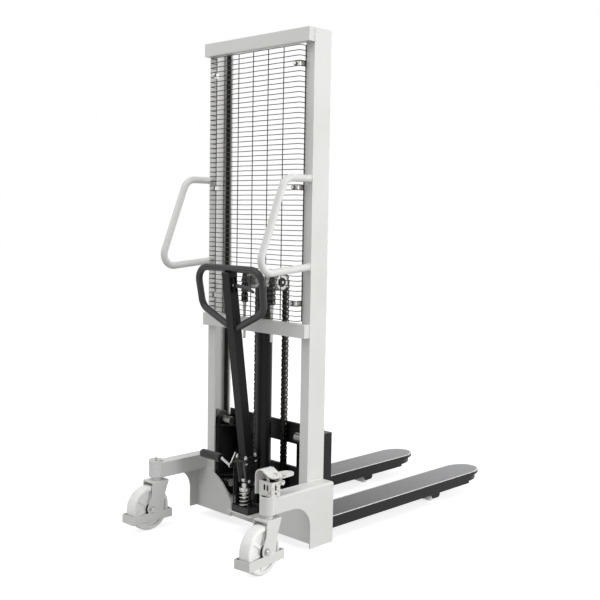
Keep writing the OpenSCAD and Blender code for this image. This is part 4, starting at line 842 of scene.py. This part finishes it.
fixed_low = PULLEY_Z - FIXED_LINKS * link
fixed_pins = [Vector((0, CYL_Y - PULLEY_R, fixed_low + i * link)) for i in range(FIXED_LINKS + 1)]
turn_pins = [Vector((0, CYL_Y - PULLEY_R * math.cos(a), PULLEY_Z + PULLEY_R * math.sin(a)))
             for a in (math.pi * i / TURN_LINKS for i in range(TURN_LINKS + 1))]
run_link = (PULLEY_Z - RUN_LOW - PLATE_R) / CARRIAGE_LINKS
run_pins = [Vector((0, CYL_Y + PULLEY_R, PULLEY_Z - i * run_link)) for i in range(CARRIAGE_LINKS + 1)]
for name, pins, first in (("chain_fixed_runs", fixed_pins, 0),
                          ("chain_over_pulleys", turn_pins, FIXED_LINKS),
                          ("chain_carriage_runs", run_pins, FIXED_LINKS + TURN_LINKS)):
    grid = bmesh.new()
    for s in (-1, 1):
        leaf_chain(grid, pins, first, s * PULLEY_X)
    chain = finish_grid(name + "_links", grid, name, [chain_steel, pin_steel],
                        bends=name == "chain_fixed_runs", sharp=40)
    if name == "chain_fixed_runs":
        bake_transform(chain)
    if name == "chain_carriage_runs":
        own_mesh(chain)

# FORKS. Pressed steel channels, with a lip round the nose and a boxed upright, in the same black enamel.
# The tops are painted a paler grey, most near the tips, a painted sheen broken by streaks along the fork,
# and the upper edge carries a painted highlight as a bright line.
FORK_TOP = 0.098
FORK_REAR = MAST_Y + 0.154
FORK_TIP = 0.8185
RIM_WIDTH = 0.0075
LEVEL_WITHIN = 1e-4
# Fork tops: painted sheen, paler grey towards the tips, with streaks along the fork.
sheen_painted_fork_top, tree = new_tree("enamel_fork_top_painted_sheen")
place = add_node(tree, "ShaderNodeTexCoord").outputs["Object"]
along = add_node(tree, "ShaderNodeSeparateXYZ", inputs={"Vector": place})
tip_sheen = add_node(tree, "ShaderNodeMapRange",
                inputs={"Value": along.outputs["Y"], "From Min": FORK_REAR, "From Max": FORK_TIP,
                        "To Min": -0.27, "To Max": 0.55})
streak_place = add_node(tree, "ShaderNodeMapping", inputs={"Vector": place, "Scale": (1.0, 0.4, 1.0)})
streaks = add_node(tree, "ShaderNodeTexNoise",
                   inputs={"Vector": streak_place.outputs[0], "Scale": 190.0, "Detail": 4.0,
                           "Roughness": 0.7})
sheen_and_streaks = add_node(tree, "ShaderNodeMath", {"operation": "MULTIPLY_ADD", "use_clamp": True},
                {0: streaks.outputs["Fac"], 1: 0.9, 2: tip_sheen.outputs[0]})
tone = add_node(tree, "ShaderNodeMix", {"data_type": "RGBA"},
                {"Factor": sheen_and_streaks.outputs[0], 6: linear("#343435"), 7: linear("#8E8E90")})
gloss = add_node(tree, "ShaderNodeMapRange",
                 inputs={"Value": streaks.outputs["Fac"], "To Min": 0.36, "To Max": 0.56})
skin = add_node(tree, "ShaderNodeBsdfPrincipled",
                inputs={"Base Color": tone.outputs[2], "Roughness": gloss.outputs[0], "IOR": 1.5,
                        "Specular IOR Level": 0.35})
put_out(tree, skin.outputs[0])
# A bright strip along the top edge, a painted highlight.
rim_highlight = bare_metal("fork_rim_painted_highlight", "#F0F0F2", "#B8B8BA", roughness=0.5, spangle=0.01)


def paint_rim_highlight(grid):
    tops = [f for f in grid.faces
            if f.normal.z > 0.99 and abs(f.calc_center_median().z - FORK_TOP) < LEVEL_WITHIN]
    ring = bmesh.ops.inset_region(grid, faces=tops, thickness=RIM_WIDTH, use_even_offset=True)
    for face in ring["faces"]:
        face.material_index = 3


# Up-facing tops get the painted sheen, and edge faces at the top get the painted highlight.
def fork_painted_light(centre, normal, index):
    if index == 0 and normal.z > 0.9 and centre.z > FORK_TOP - 0.0004:
        return 2
    rim = index == 1 and FORK_TOP - 0.003 < centre.z < FORK_TOP + 0.001 and centre.y > FORK_REAR
    return 3 if rim else index


for node in ("fork_left", "fork_right"):
    soften(node, BLACK_EDGE, black_enamel, black_edge_rub_and_highlight, sheen_painted_fork_top, rim_highlight, choose=fork_painted_light,
           prepare=paint_rim_highlight)
